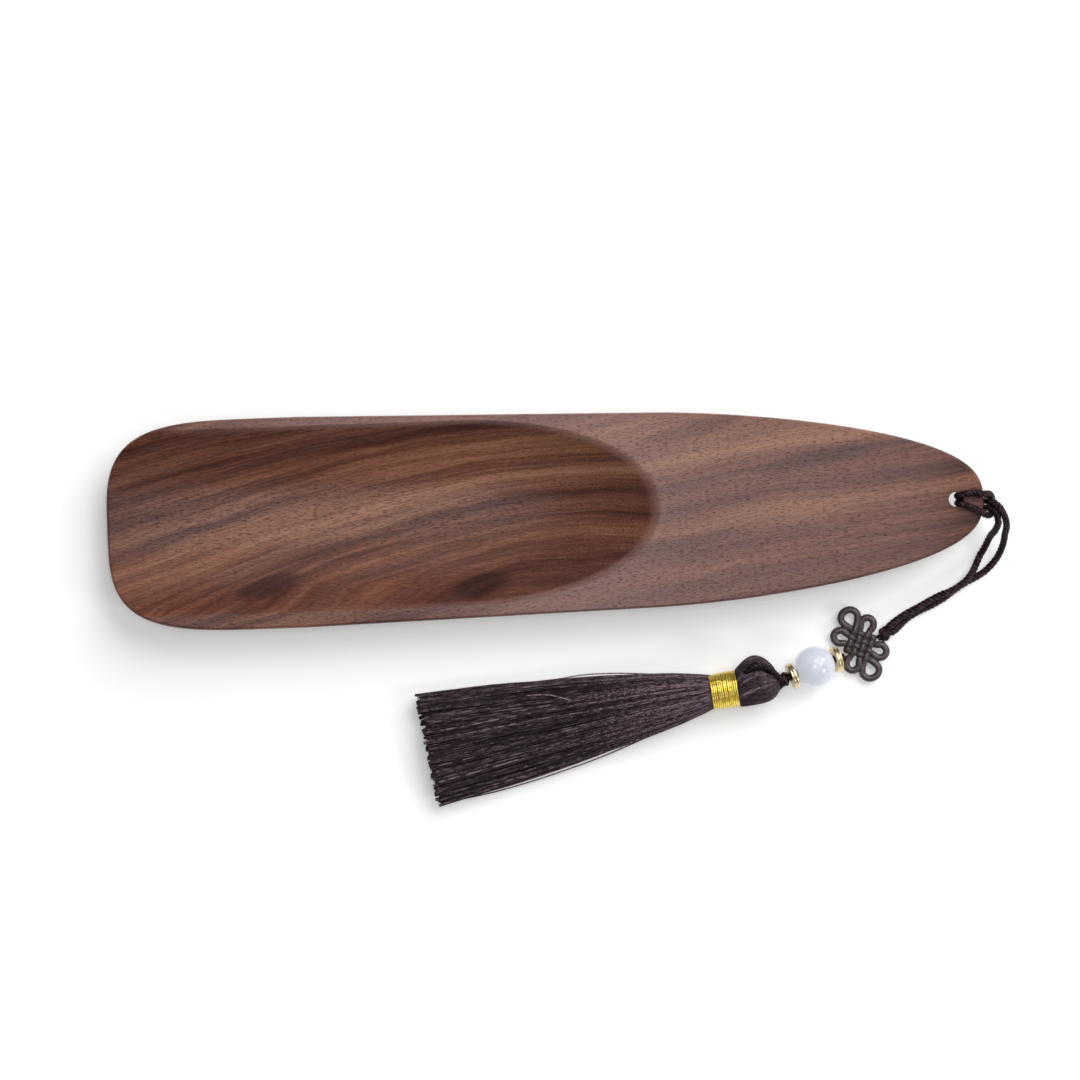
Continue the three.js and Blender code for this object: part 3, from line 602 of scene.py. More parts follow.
def wound_binding():
    """One thread wound round the neck, uneven from turn to turn, with creases that cross the turns."""
    g, size = geometry_tree("wound_binding", {
        "Threads": 1, "Turns": 12.5, "Steps": 1500, "Sides": 8, "Thread": 0.4, "Radius": 3.1, "Flare": 0.3,
        "Swell": 0.08, "Crease": 0.3, "Unevenness": 0.3, "Length": BINDING_LENGTH,
    })
    lines, _, along = threads(g, size)
    turn = along * size["Turns"]
    across = g.cos(turn)
    up = g.sin(turn)
    uneven = g.noise(g.vector(turn * 2.3, 0.4, 0)) - 0.5
    t = HEAD_LENGTH + size["Thread"] / 2 + (size["Length"] - size["Thread"]) * along
    t = t + size["Unevenness"] * uneven
    crease = g.noise(g.vector(across * 3.4, up * 3.4, along * 2)) - 0.5
    radius = size["Radius"] + size["Flare"] * (1 - along) + size["Crease"] * crease
    radius = radius + size["Swell"] * g.math("SINE", along * math.pi)
    lines = g.marked(lines, "along", along * size["Turns"] * 20)
    lines = g.moved(lines, g.in_frame(HEAD_AT, (TASSEL_WAY, TASSEL_ASIDE, UP),
                                      (t, radius * across, radius * up)))
    return end_tree(g, size, swept(g, size, lines, size["Thread"] / 2))


def silk_skirt():
    """Half of the skirt: threads from under the binding, in locks, and the stray threads of the base."""
    g, size = geometry_tree("silk_skirt", {
        "Threads": 1150, "Steps": 14, "Sides": 3, "Thread": 0.33, "Side": 1.0, "Seed": 1,
        "Neck Radius": 2.6, "Root Radius": 3.15, "End Width": 21.8, "End Height": 4.4, "Spread": 0.66,
        "Hidden": 3.0, "Length": SKIRT_LENGTH + SKIRT_BACKING, "Locks": 13.0, "Gather": 0.26, "Tufts": 30.0,
        "Droop": 0.22, "Lock Drift": 0.4, "Wave": 0.1, "Ripple": 0.08, "Sway": 0.2, "Ragged": 0.02,
    })
    lines, number, along = threads(g, size)

    def draw(low, high, step, key=number):
        return g.random(key, low, high, size["Seed"] * 40 + step)

    across = draw(-1, 1, 1)
    depth = draw(0, 1, 2) ** 0.55
    lock = g.math("FLOOR", across * size["Locks"] + 0.6 * depth)
    tuft = g.math("FLOOR", across * size["Tufts"])
    ragged = size["Ragged"]
    length = size["Length"] * (1.006 - ragged * draw(0, 1, 8) ** 2 - ragged * draw(0, 1, 9, tuft))
    t = along * (length + size["Hidden"]) - size["Hidden"]
    u = g.clamp(t / length)
    free = g.smooth(u, 0.02, 0.7)
    up = depth * (1 - across * across) ** 0.5
    up = (up - size["Droop"] * draw(0, 1, 4, lock) * free) * size["Side"]
    middle = (lock + 0.5 + size["Lock Drift"] * draw(-1, 1, 3, lock)) / size["Locks"]
    across = across + (middle - across) * size["Gather"] * free
    wave = g.sin(along * draw(1, 2.6, 5) + draw(0, 1, 6))
    sway = g.sin(along * 1.3 + draw(0, 1, 7, lock))
    low = size["End Height"] / 2
    neck = size["Neck Radius"]
    root = neck + (size["Root Radius"] - neck) * g.smooth(t, -0.4, 0.9)
    wide = root + (size["End Width"] / 2 - size["Root Radius"]) * u ** size["Spread"]
    high = low + (root - low) * (1 - u) ** 2
    centre = low + SKIRT_LIFT + (SKIRT_AT.z - low - SKIRT_LIFT) * (1 - u) ** 3
    aside = wide * across + (size["Wave"] * wave + size["Sway"] * sway) * free
    z = g.math("MAXIMUM", centre + high * up + size["Ripple"] * wave * free, SKIRT_LOWEST)
    start = Vector((SKIRT_AT.x, SKIRT_AT.y, 0))
    lines = g.marked(lines, "along", along * length + draw(0, 5, 10))
    # Painted sheen: threads lighter near the neck, fading out halfway along the skirt
    bright = 0.2 + 0.55 * (1 - g.smooth(u, 0, 0.5))
    lines = g.marked(lines, "tone", bright * (0.1 + 2.0 * draw(0, 1, 11) ** 3 + 0.5 * draw(0, 1, 12, lock)))
    lines = g.moved(lines, g.in_frame(start, (SKIRT_WAY, SKIRT_ASIDE, UP), (t, aside, z)))
    strays = g.node("GeometryNodeMeshToCurve", {"Mesh": size["Geometry"]})
    strays = g.marked(strays, "along", g.node("GeometryNodeSplineParameter", output="Length"))
    strays = g.marked(strays, "tone", 1.0)
    loose = swept(g, size, strays, size["Thread"] / 2)
    gathered = THREAD_ROOT + (1 - THREAD_ROOT) * free
    return end_tree(g, size, g.joined(swept(g, size, lines, size["Thread"] / 2, gathered), loose))


# Finishes

def finish(name, fixed, surface):
    """Principled material from constant values and what a surface graph gives."""
    material = bpy.data.materials.new(name)
    material.use_nodes = True
    g = Graph(material.node_tree)
    shader = material.node_tree.nodes["Principled BSDF"]
    for label, value in fixed.items():
        shader.inputs[label].default_value = value
    for label, value in surface(g).items():
        g.feed(shader.inputs[label], value)
    return material


def on_piece(g):
    """Place on the piece in millimetres."""
    return [part / MM for part in g.xyz(g.node("ShaderNodeTexCoord", output="Object"))]


def clouds(g, scale, detail=2.0):
    """Noise through the whole piece, with its scale in bumps a millimetre."""
    return g.noise(g.vector(*on_piece(g)), scale, detail)


def bumped(g, height, strength, distance):
    return g.node("ShaderNodeBump", {"Height": height, "Strength": strength, "Distance": distance * MM})


# Growth bands across the grain: place and tone
GROWTH_TONES = [
    (-34, 0.5), (-24, 0.45), (-16, 0.34), (-11, 0.45), (-7, 0.36), (-3, 0.55), (0, 0.66), (3.5, 0.45),
    (6, 0.4), (9, 0.55), (12.5, 0.82), (14.5, 0.71), (16.7, 0.54), (20, 0.68), (24, 0.57), (28, 0.39),
    (32, 0.51), (35, 0.41), (40, 0.47),
]
WALNUT_TONES = [
    (0.0, (0.026, 0.007, 0.005)), (0.3, (0.068, 0.020, 0.013)), (0.52, (0.126, 0.042, 0.026)),
    (0.75, (0.205, 0.081, 0.047)), (1.0, (0.300, 0.137, 0.080)),
]
# Dark smudges of figure: place, half length and half width
SMUDGES = [
    (-54, -12.3, 8, 2.4), (-12.7, -14, 7, 2.4), (29, 15.7, 12, 2.2), (26, -6.5, 14, 2), (53, 8.5, 15, 1.8),
]
SMUDGE_SLOPE = 0.22
SMUDGE_DEPTH = 0.34
ASHEN_BROWN = (0.115, 0.060, 0.058, 1)
# Painted sheen on the flat top: its pale colour, and the slant and places where it starts and wanes
PALE_SHEEN = (0.275, 0.163, 0.150, 1)
SHEEN_SLANT = 1.2
SHEEN_STARTS = (-62, -15)
SHEEN_WANES = (5, 40)
# Stretch over which the tip is darkened as painted shade
TIP_PAINTED_SHADE = (50, 78)
GRAIN_SLOPE = 0.18
GRAIN_BEND = 0.00059
GRAIN_DIP = 0.7
GRAIN_DRIFT = 4.0
FIBRE_SLOPE = 0.08
FIBRE_FINE = 7
PORE_LENGTH = 1.9
PORE_WIDTH = 0.34
PORE_DEPTH = 0.58
PORE_BROWN = (0.020, 0.007, 0.006, 1)
TOP_LEVELS = (10.0, 10.75)


def walnut_surface(g):
    x, y, z = on_piece(g)
    drift = g.noise(g.vector(x * 0.03, y * 0.07, z * 0.07)) - 0.5
    growth = y - GRAIN_SLOPE * x + GRAIN_BEND * x * x + GRAIN_DIP * z + GRAIN_DRIFT * drift
    level = y - FIBRE_SLOPE * x

    def figure(along, across, depth, detail, rough=0.5):
        return g.noise(g.vector(x * along, growth * across, depth), 1.0, detail, rough)

    def fibres(along, detail, rough=0.5):
        return g.noise(g.vector(x * along, level * FIBRE_FINE, z * FIBRE_FINE), 1.0, detail, rough)

    low = GROWTH_TONES[0][0]
    span = GROWTH_TONES[-1][0] - low
    bands = g.ramp((growth - low) / span, [((at - low) / span, (tone,) * 3) for at, tone in GROWTH_TONES])
    streaks = figure(0.014, 0.36, 2.7, 3.0) - 0.5
    lines = figure(0.05, 1.7, 8.1, 3.0, 0.6) - 0.5
    fibre = fibres(0.5, 3.0, 0.7) - 0.5
    wall = g.attribute("wall")
    # Painted sheen: the flat top mixed towards a pale pink, as the overhead light would reflect on it, rising
    # past the mouth and weaker towards the tip
    on_top = g.smooth(z, *TOP_LEVELS)
    painted_sheen = on_top * g.smooth(x + SHEEN_SLANT * y, *SHEEN_STARTS) * (0.48 - 0.23 * g.smooth(x, *SHEEN_WANES))
    # Painted light in the tone: the hollow's walls and the flat top a little lighter
    tone = bands + 1.2 * streaks + 0.8 * lines + 0.9 * fibre + 0.03 * wall + 0.06 * on_top
    # Painted shade: the tip darker, where less sheen falls on its lowered top
    tone = tone - 0.09 * g.smooth(x, *TIP_PAINTED_SHADE)
    for at_x, at_y, half_long, half_wide in SMUDGES:
        run = (x - at_x) / half_long
        off = (y - at_y - SMUDGE_SLOPE * (x - at_x)) / half_wide + 1.6 * streaks + 2.4 * drift
        tone = tone - SMUDGE_DEPTH * (1 - g.smooth(run * run + off * off, 0.1, 1))
    colour = g.ramp(g.clamp(tone), WALNUT_TONES)
    ashen = figure(0.015, 0.28, 14.2, 2.0)
    colour = g.mix(0.16 * g.smooth(ashen, 0.5, 0.64), colour, ASHEN_BROWN)
    colour = g.mix(painted_sheen, colour, PALE_SHEEN)
    dash = fibres(0.9, 1.0)
    place = g.vector(x / PORE_LENGTH, level / PORE_WIDTH, z / PORE_WIDTH)
    cell = g.node("ShaderNodeTexVoronoi", {"Vector": place, "Scale": 1.0}, "Distance")
    kept = g.smooth(g.xyz(cell.part("Color"))[0], 0.45, 0.6)
    pores = g.math("MAXIMUM", g.smooth(dash, 0.56, 0.68), kept * (1 - g.smooth(cell, 0.1, 0.28)))
    colour = g.mix(PORE_DEPTH * pores, colour, PORE_BROWN)
    return {
        "Base Color": colour,
        "Roughness": 0.33 + 0.14 * fibre + 0.16 * pores,
        "Normal": bumped(g, 0.4 * fibre - 0.7 * pores, 0.3, 0.06),
    }


def wound(g, colour, shade, depth, strands, pitch, rough, bump):
    """Surface of a thread or ply, rougher and lower between the fine fibres wound along it, with painted
    shade darkening it there.
    """
    around = g.xyz(g.attribute("round", "Vector"))
    angle = g.math("ARCTAN2", around[1], around[0]) / math.tau
    fibre = 0.5 + 0.5 * g.sin(strands * angle + g.attribute("along") / pitch)
    return {
        "Base Color": g.mix(depth * fibre, colour, shade),
        "Roughness": rough[0] + rough[1] * fibre,
        "Normal": bumped(g, fibre, *bump),
    }


def cord_surface(g):
    colour = g.mix(g.smooth(clouds(g, 0.9), 0.4, 0.7), (0.006, 0.0022, 0.0048, 1), (0.056, 0.021, 0.022, 1))
    return wound(g, colour, shade=(0.006, 0.002, 0.004, 1), depth=0.75, strands=4, pitch=0.5,
                 rough=(0.28, 0.2), bump=(0.5, 0.06))


def silk_surface(g):
    tone = g.attribute("tone")
    # Painted glints: dashes along each thread mixed towards a pale pink sheen, stronger on threads of higher
    # tone
    glint = g.noise(g.vector(g.attribute("along") * 0.6, tone * 40, 5.2), 1.0, 3.0, 0.6)
    shine = g.clamp(tone * (0.3 + 2.4 * g.smooth(glint, 0.42, 0.68)))
    colour = g.mix(shine, (0.008, 0.0015, 0.008, 1), (0.300, 0.212, 0.245, 1))
    return wound(g, colour, shade=(0.005, 0.0012, 0.0045, 1), depth=0.4, strands=2, pitch=0.6,
                 rough=(0.34, 0.25), bump=(0.4, 0.04))


def gold_thread_surface(g):
    # Painted glints and shade: patches along the thread mixed from dark to bright gold, standing in for its
    # highlights and dark creases
    painted_glints = g.noise(g.vector(g.attribute("along") * 0.8, 3.1, 0), rough=0.6)
    colour = g.mix(g.smooth(painted_glints, 0.36, 0.64), (0.80, 0.58, 0.05, 1), (0.99, 0.85, 0.25, 1))
    return wound(g, colour, shade=(0.50, 0.30, 0.015, 1), depth=0.3, strands=3, pitch=0.5,
                 rough=(0.28, 0.14), bump=(0.4, 0.03))


def charm_surface(g):
    cloud = clouds(g, 0.5, 3.0)
    grain = clouds(g, 7.0)
    return {
        "Base Color": g.mix(cloud, (0.034, 0.022, 0.025, 1), (0.052, 0.036, 0.040, 1)),
        "Roughness": 0.3 + 0.12 * grain,
        "Normal": bumped(g, grain, 0.08, 0.03),
    }


def gilt_surface(g):
    haze = clouds(g, 0.6)
    return {
        "Base Color": g.mix(haze, (0.72, 0.59, 0.35, 1), (0.80, 0.69, 0.46, 1)),
        "Roughness": 0.26 + 0.06 * haze,
    }


def bead_surface(g):
    cloud = clouds(g, 0.34, 3.0)
    return {
        "Base Color": g.mix(g.smooth(cloud, 0.3, 0.7), (0.285, 0.305, 0.36, 1), (0.33, 0.345, 0.385, 1)),
        "Roughness": 0.09 + 0.06 * cloud,
    }


FINISHES = {
    "walnut": finish("oiled_walnut", {"Specular IOR Level": 0.24}, walnut_surface),
    "cord": finish("dark_satin_cord", {"Specular IOR Level": 0.18}, cord_surface),
    "charm": finish("moulded_resin", {"Specular IOR Level": 0.5}, charm_surface),
    "gilt": finish("polished_gilt", {"Metallic": 1.0}, gilt_surface),
    "bead": finish("milky_glass", {
        "Subsurface Weight": 1.0, "Subsurface Radius": (1.0, 1.0, 1.0), "Subsurface Scale": 0.005,
        # Painted light: a faint pale glow evens out the bead's shading
        "Emission Color": (0.88, 0.92, 1.0, 1), "Emission Strength": 0.39,
    }, bead_surface),
    "silk": finish("dark_silk", {"Specular IOR Level": 0.22}, silk_surface),
    "gold_thread": finish("gold_thread", {"Metallic": 1.0}, gold_thread_surface),
}


# Places along the string

def place_of(joint):
    return Vector(JOINTS[joint]["pos_m"]) / MM


def axis_of(joint):
    return Vector(JOINTS[joint]["axis"]).normalized()


def towards(turn):
    return Vector((math.cos(math.radians(turn)), math.sin(math.radians(turn)), 0))


TASSEL_SIDE = axis_of("lower_spacer_spin")
CHARM_REACH = CHARM_CORNER + CHARM_CORD / 2
TOP_KNOT_AT = CHARM_AT + towards(HUNG_FROM_TURN) * (CHARM_REACH + KNOT_CLEARANCE + KNOT_LENGTH / 2)
TOP_KNOT_AT.z = KNOT_HIGH
TOP_KNOT_WAY = towards(TOP_KNOT_TURN)
LOWER_KNOT_AT = place_of("tassel_swing")
LOWER_KNOT_LENGTH = 0.75 * KNOT_LENGTH
TASSEL_WAY = -towards(TASSEL_TURN)
TASSEL_ASIDE = UP.cross(TASSEL_WAY)
SKIRT_WAY = -towards(SKIRT_TURN)
SKIRT_ASIDE = UP.cross(SKIRT_WAY)
HEAD_AT = LOWER_KNOT_AT + TASSEL_SIDE * (LOWER_KNOT_LENGTH / 2 + HEAD_CLEARANCE)
SKIRT_AT = HEAD_AT + TASSEL_WAY * (HEAD_LENGTH + BINDING_LENGTH + 1.5 * GAP)


# Routes of the cord

def by_cord(points):
    """Places from a base x and z, with shares of the cord's diameter from there along x, y and z."""
    return [(x + dx * CORD, dy * CORD, z + dz * CORD) for x, dx, dy, z, dz in points]


def bight_route():
    levels = [(BELOW_TIP, 0.7), ((BELOW_TIP + OVER_TIP) / 2, 0), (OVER_HOLE, -0.9)]
    rising, falling = ([(HOLE_X, 0.5, side * 0.56, *level) for level in levels] for side in (1, -1))
    return smooth_route(by_cord([
        (HOLE_X, 0.55, 0.58, BELOW_TIP, 0), *rising, (HOLE_X, 0.75, 0.7, OVER_HOLE, 0),
        (TIP_X, -1.7, 0.95, OVER_TIP, 0), (TIP_X, 0, 0.7, OVER_TIP, -0.32),
        (TIP_X, 0.9, 0.7, NOSE_Z, 0.42), (TIP_X, 1.38, 0.1, NOSE_Z, -0.75),
        (TIP_X, 1.46, -0.95, NOSE_Z, -1), (TIP_X, 1.35, -2.1, NOSE_Z, -0.75),
        (TIP_X, 0.8, -2.72, NOSE_Z, 0.42), (TIP_X, -0.1, -2.5, OVER_TIP, -0.32),
        (TIP_X, -1.7, -1.6, OVER_TIP, 0), (HOLE_X, 0.75, -0.75, OVER_HOLE, 0),
        *reversed(falling), (HOLE_X, 0.55, -0.58, BELOW_TIP, 0),
    ]))


# Turn of the inner strand, 1, and the outer, -1, out of the bight and down, from the tip's edge
STRAND_TURNS = {
    1: [(2.1, -2.45, 9.7), (2.6, -4.6, 10.05), (2.1, -6.25, 7.6), (1.65, -6.95, 4.9)],
    -1: [(1.95, -0.85, 9.7), (2.95, -1.8, 10.4), (4, -3.9, 9.5), (4.35, -5.6, 7.4), (4.15, -7.1, 5.1)],
}
# Middle of the two strands from there: x, y, z, half their spacing and their roll round it
STRAND_ROUTE = [
    (2.6, -8.2, 3.2, 1.45, 0), (1.75, -10.2, 1.7, 1.55, 0), (0.85, -11.6, 1, 1.5, 0),
    (-0.4, -13.3, LAID, 1.15, 10), (-1.75, -14.7, LAID, 0.8, 40), (-3.1, -15.75, LAID, CLOSE_BY, 72),
    (-4.95, -17, LAID, CLOSE_BY, 84), (-6.8, -18.1, LAID, CLOSE_BY, 72), (-8.1, -18.75, LAID, CLOSE_BY, 52),
    (-10.3, -19.85, LAID, CLOSE_BY, 45), (-12.9, -21.1, LAID, CLOSE_BY, 55),
    (-15.2, -22.3, LAID, CLOSE_BY, 50),
]


def strand_route(side):
    """From under the hole, up through the bight and along to the top knot; side 1 lies nearer the scoop."""
    root = -0.58 * side
    aside = -0.9 - 0.58 * side
    tail = by_cord([
        (HOLE_X, 0.45, root, BELOW_TIP, 0.05), (TIP_X, -2.3, (root + aside) / 2, BELOW_TIP, 0.1),
        (TIP_X, -0.65, aside, BELOW_TIP, 0.6), (TIP_X, 0.55, aside, NOSE_Z, -1.55),
        (TIP_X, 0.88, aside - 0.05, NOSE_Z, -0.4), (TIP_X, 1.16, aside - 0.15, NOSE_Z, 0.3),
    ])
    turn = [(TIP_X + x, y, z) for x, y, z in STRAND_TURNS[side]]
    middles = [(Vector((TIP_X + x, y, z)), half, roll) for x, y, z, half, roll in STRAND_ROUTE]
    middles.append((TOP_KNOT_AT + TOP_KNOT_WAY * (KNOT_LENGTH / 2 + KNOT_CLEARANCE), CLOSE_BY, 25))
    strand = []
    for i, (at, half, roll) in enumerate(middles):
        way = middles[min(i + 1, len(middles) - 1)][0] - middles[max(i - 1, 0)][0]
        way.z = 0
        way.normalize()
        level = half * math.cos(math.radians(roll))
        raised = half * math.sin(math.radians(roll))
        strand.append(at + Vector((way.y, -way.x, 0)) * side * level + UP * raised * (1 + side))
    end = TOP_KNOT_AT + TOP_KNOT_WAY * 0.4
    return smooth_route([*tail, *turn, *strand, end])


def knot_routes(at, way, length, lean):
    """Cord of a tight knot: two turns round the string and the cord that they hold."""
    aside = UP.cross(way).normalized()
    up = way.cross(aside)
    turns = []
    for i in range(KNOT_STEPS + 1):
        u = i / KNOT_STEPS
        angle = math.tau * KNOT_TURNS * u + lean
        out = KNOT_RING * min(1, 4 * u + 0.2, 4 * (1 - u) + 0.2)
        run = (length - 0.9 * CORD) * (u - 0.5) + KNOT_SLANT * math.sin(angle + 0.8)
        turns.append(at + way * run + aside * out * math.cos(angle) + up * out * math.sin(angle))
    core = [at + way * (length * share) for share in (-0.6, 0, 0.6)]
    return [smooth_route(turns), smooth_route(core)]


def bead_cord_route():
    upper = place_of("upper_spacer_spin")
    charm_side = axis_of("upper_spacer_spin")
    bead = place_of("bead_spin")
    through = axis_of("bead_spin") * (BEAD_DIA / 2)
    lower = place_of("lower_spacer_spin")
    start = upper + charm_side * (SPACER_THICK / 2 + CHARM_LEAD)
    return smooth_route([start, upper, bead - through, bead + through, lower, LOWER_KNOT_AT])


# Loop along one flank of the head to its middle, and back along the other: shares of the head's size
LOOP_SHARES = [
    (0.12, 0.55), (0.25, 0.78), (0.39, 0.9), (0.53, 0.92), (0.66, 0.82), (0.74, 0.5), (0.76, 0.16),
]


def loop_route():
    across = math.sin(math.radians(LOOP_ROLL))
    up = math.cos(math.radians(LOOP_ROLL))
    flank = LOOP_OUT * HEAD_DIA / 2 / math.hypot(across, up / HEAD_SQUASH)

    def on_loop(t, out):
        lean = HEAD_LEAN * math.sin(math.pi * min(1, max(0, t / HEAD_LENGTH)))
        return HEAD_AT + TASSEL_WAY * t + TASSEL_ASIDE * (-out * across - lean) + UP * (out * up)

    shares = LOOP_SHARES + [(t, -out) for t, out in reversed(LOOP_SHARES)]
    inside = [on_loop(t * HEAD_LENGTH, out * flank) for t, out in shares]
    mouths = [on_loop(-2 * GAP, side * 0.55 * CORD) for side in (1, -1)]
    ends = [LOWER_KNOT_AT + TASSEL_SIDE * 0.3 + (mouth - HEAD_AT) * 0.3 for mouth in mouths]
    return smooth_route([ends[0], mouths[0], *inside, mouths[1], ends[1]])


# Stray threads: distance along the skirt, aside from its middle, and height
STRAYS = [
    [(10, -5.6, 3.6), (16, -7, 3), (23, -8.1, 2.6), (28, -8.3, 2.2), (36, -9, 1.7), (43, -9.4, 1.5)],
    [(26, -3.6, 5.2), (28.5, -4.9, 5), (30.6, -5.8, 4.75), (34.5, -6.4, 4.4)],
    [(13, 6.2, 2.6), (21.8, 8.1, 1.8), (31, 9.5, 1.4), (38, 10.3, 1.2), (45, 10.8, 1), (51.3, 10.9, 0.8)],
    [(16, 6.4, 2.2), (24, 7.9, 1.7), (33, 9.2, 1.4), (42, 10.2, 1.1), (49, 10.6, 0.9)],
]


def stray_routes():
    def on_skirt(t, aside, z):
        at = SKIRT_AT + SKIRT_WAY * t + SKIRT_ASIDE * aside
        return (at.x, at.y, z)

    return [smooth_route([on_skirt(*point) for point in stray], STRAY_STEP) for stray in STRAYS]


def charm_rings():
    """Three interlaced closed cords: two straight pairs with small ears and one round the outside."""
    n = [(i - 1.5) * CHARM_PITCH for i in range(4)]

    def weave(i, j):
        return CHARM_WEAVE * (1 if (i + j) % 2 == 0 else -1)

    def along_p(i, order):
        return [(n[j], n[i], weave(i, j) - CHARM_RIDGE) for j in order]

    def along_q(j, order):
        return [(n[j], n[i], CHARM_RIDGE - 0.5 * weave(i, j)) for i in order]

    def lobe(limb, turn, first):
        """Loop out along an axis, from distances and half widths between its root and its end."""
        out = [Vector((far, first * half, 0)) for far, half in limb]
        back = [Vector((far, -first * half, 0)) for far, half in reversed(limb[:-1])]
        return [Matrix.Rotation(math.radians(turn), 3, "Z") @ point for point in out + back]

    def ear(turn):
        return lobe([(3, 0.95), (4.15, 1.28), (5.1, 0.8), (5.4, 0)], turn, -1)

    def big_ear(turn):
        limb = [(3.7, 0.75), (4.7, 1.4), (5.75, 1.67), (6.7, 1.1), (7.05, 0)]
        return lobe(limb, turn + BIG_EAR_TURN, 1)

    def corner(turn):
        return lobe([(0.93 * CHARM_CORNER, 0.28), (CHARM_CORNER, 0)], turn + 45, 1)

    up = (0, 1, 2, 3)
    down = (3, 2, 1, 0)
    straight = [*along_p(1, up), *ear(0), *along_p(2, down), *ear(180)]
    across = [*along_q(2, up), *ear(90), *along_q(1, down), *ear(270)]
    outside = [
        *along_p(0, up), *big_ear(0), *along_q(3, up), *corner(0),
        *along_p(3, down), *big_ear(180), *along_q(0, down), *corner(180),
    ]
    turn = Matrix.Rotation(math.radians(CHARM_TURN), 3, "Z")
    rings = [[CHARM_AT + turn @ Vector(p) for p in ring] for ring in (straight, across, outside)]
    return [smooth_route(ring, closed=True) for ring in rings]


# Turned pieces

def turned(name, profile, place, sides, material, ring=True):
    """Mesh of a profile, as pairs along and out, turned round its axis: a smooth ring or a plain plug."""
    points = []
    for along, out in profile:
        for i in range(sides):
            angle = math.tau * i / sides
            points.append(tuple(place(out * math.cos(angle), out * math.sin(angle), along)))
    count = len(points)
    faces = [] if ring else [tuple(reversed(range(sides))), tuple(range(count - sides, count))]
    for row in range(0, count if ring else count - sides, sides):
        ahead = (row + sides) % count
        for i in range(sides):
            j = (i + 1) % sides
            faces.append((row + i, row + j, ahead + j, ahead + i))
    mesh = bpy.data.meshes.new(name)
    mesh.from_pydata(points, [], faces)
    mesh.polygons.foreach_set("use_smooth", [ring] * len(faces))
    mesh.materials.append(material)
    return mesh


def on_joint(joint):
    """Function that gives the place, in metres, of a point in the frame of a joint's axis."""
    at = place_of(joint)
    turn = UP.rotation_difference(axis_of(joint))
    return lambda x, y, z: (at + turn @ Vector((x, y, z))) * MM


def arc(centre, radius, start, end, steps):
    """Points of an arc, as pairs along and out, between two angles in degrees from straight out."""
    for i in range(steps + 1):
        angle = math.radians(start + (end - start) * i / steps)
        yield centre[0] + radius * math.sin(angle), centre[1] + radius * math.cos(angle)


def bead_mesh():
    radius = BEAD_DIA / 2
    mouth = 90 - math.degrees(math.asin((BORE_DIA / 2 + BORE_LIP) / radius))
    end = radius * math.sin(math.radians(mouth))
    profile = list(arc((0, 0), radius, -mouth, mouth, BEAD_STEPS))
    profile += [(end - back, BORE_DIA / 2 + out) for back, out in BORE_EASING]
    profile += [(back - end, BORE_DIA / 2 + out) for back, out in reversed(BORE_EASING)]
    return turned("bead", profile, on_joint("bead_spin"), TURNED_SIDES, FINISHES["bead"])


def spacer_mesh(name, joint):
    """Gilt rondelle: a broad ridge towards the bead, a groove and a narrow rim."""
    half = SPACER_THICK / 2
    edge = SPACER_DIA / 2
    broad = (SPACER_THICK - SPACER_RIM) / 2
    narrow = SPACER_RIM / 2
    profile = [(-half, BORE_DIA / 2)]
    profile += arc((-half + broad, edge - broad), broad, -90, 70, 14)
    profile += arc((half - narrow, edge - narrow), narrow, -70, 90, 10)
    profile += [(half, BORE_DIA / 2)]
    return turned(name, profile, on_joint(joint), TURNED_SIDES, FINISHES["gilt"])


def hole_drill():
    flare = HOLE_RADIUS + HOLE_FLARE
    profile = [
        (HOLE_LOW - DRILL_PAST_LOW, flare + DRILL_PAST_LOW), (HOLE_LOW, flare),
        (HOLE_LOW + HOLE_FLARE + HOLE_THROAT, HOLE_RADIUS), (HOLE_TOP - HOLE_FLARE, HOLE_RADIUS),
        (HOLE_TOP, flare), (HOLE_TOP + DRILL_PAST_TOP, flare),
    ]

    def in_tip(x, y, z):
        return (HOLE_X + x) * MM, y * MM, z * MM

    mesh = turned("hole_drill", profile, in_tip, DRILL_SIDES, FINISHES["walnut"], ring=False)
    return shown("hole_drill", mesh)


# Pieces

def placed(name, mesh, node, body):
    made = shown(name, mesh)
    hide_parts(node)
    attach(made, body)


def cord_mesh(name, routes):
    return grown(name, CORD_TREE, FINISHES["cord"], line_mesh(name, routes))


def cord_piece(name, routes, node, body):
    placed(name, cord_mesh(name, routes), node, body)


def make_scoop():
    holder = shown("walnut_scoop", grown("walnut_scoop", carved_scoop(), FINISHES["walnut"]))
    drill = hole_drill()
    cut = holder.modifiers.new("hole", "BOOLEAN")
    cut.operation = "DIFFERENCE"
    cut.solver = "EXACT"
    cut.material_mode = "TRANSFER"
    cut.object = drill
    mesh = baked(holder)
    bpy.data.objects.remove(drill)
    mesh.set_sharp_from_angle(angle=math.radians(CREASE_ANGLE))
    placed("walnut_scoop", mesh, "scoop_body", "scoop")


def make_cords():
    cord_piece("hitched_bight", [bight_route()], "cord_hitch", "scoop")
    for side, word in ((1, "inner"), (-1, "outer")):
        route = strand_route(side)
        name = f"{word}_strand"
        strand = shown(name, cord_mesh(name, [route]))
        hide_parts(f"strand_{word}")
        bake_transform(strand)
    top = knot_routes(TOP_KNOT_AT, -TOP_KNOT_WAY, KNOT_LENGTH, 0.4)
    cord_piece("tied_top_knot", top, "top_knot", "hanging_cord")
    cord_piece("beaded_cord", [bead_cord_route()], "bead_cord", "charm")
    lower = knot_routes(LOWER_KNOT_AT, TASSEL_SIDE, LOWER_KNOT_LENGTH, 1.2)
    cord_piece("tied_lower_knot", lower, "lower_knot", "charm")
    cord_piece("silk_loop", [loop_route()], "tassel_loop", "tassel")


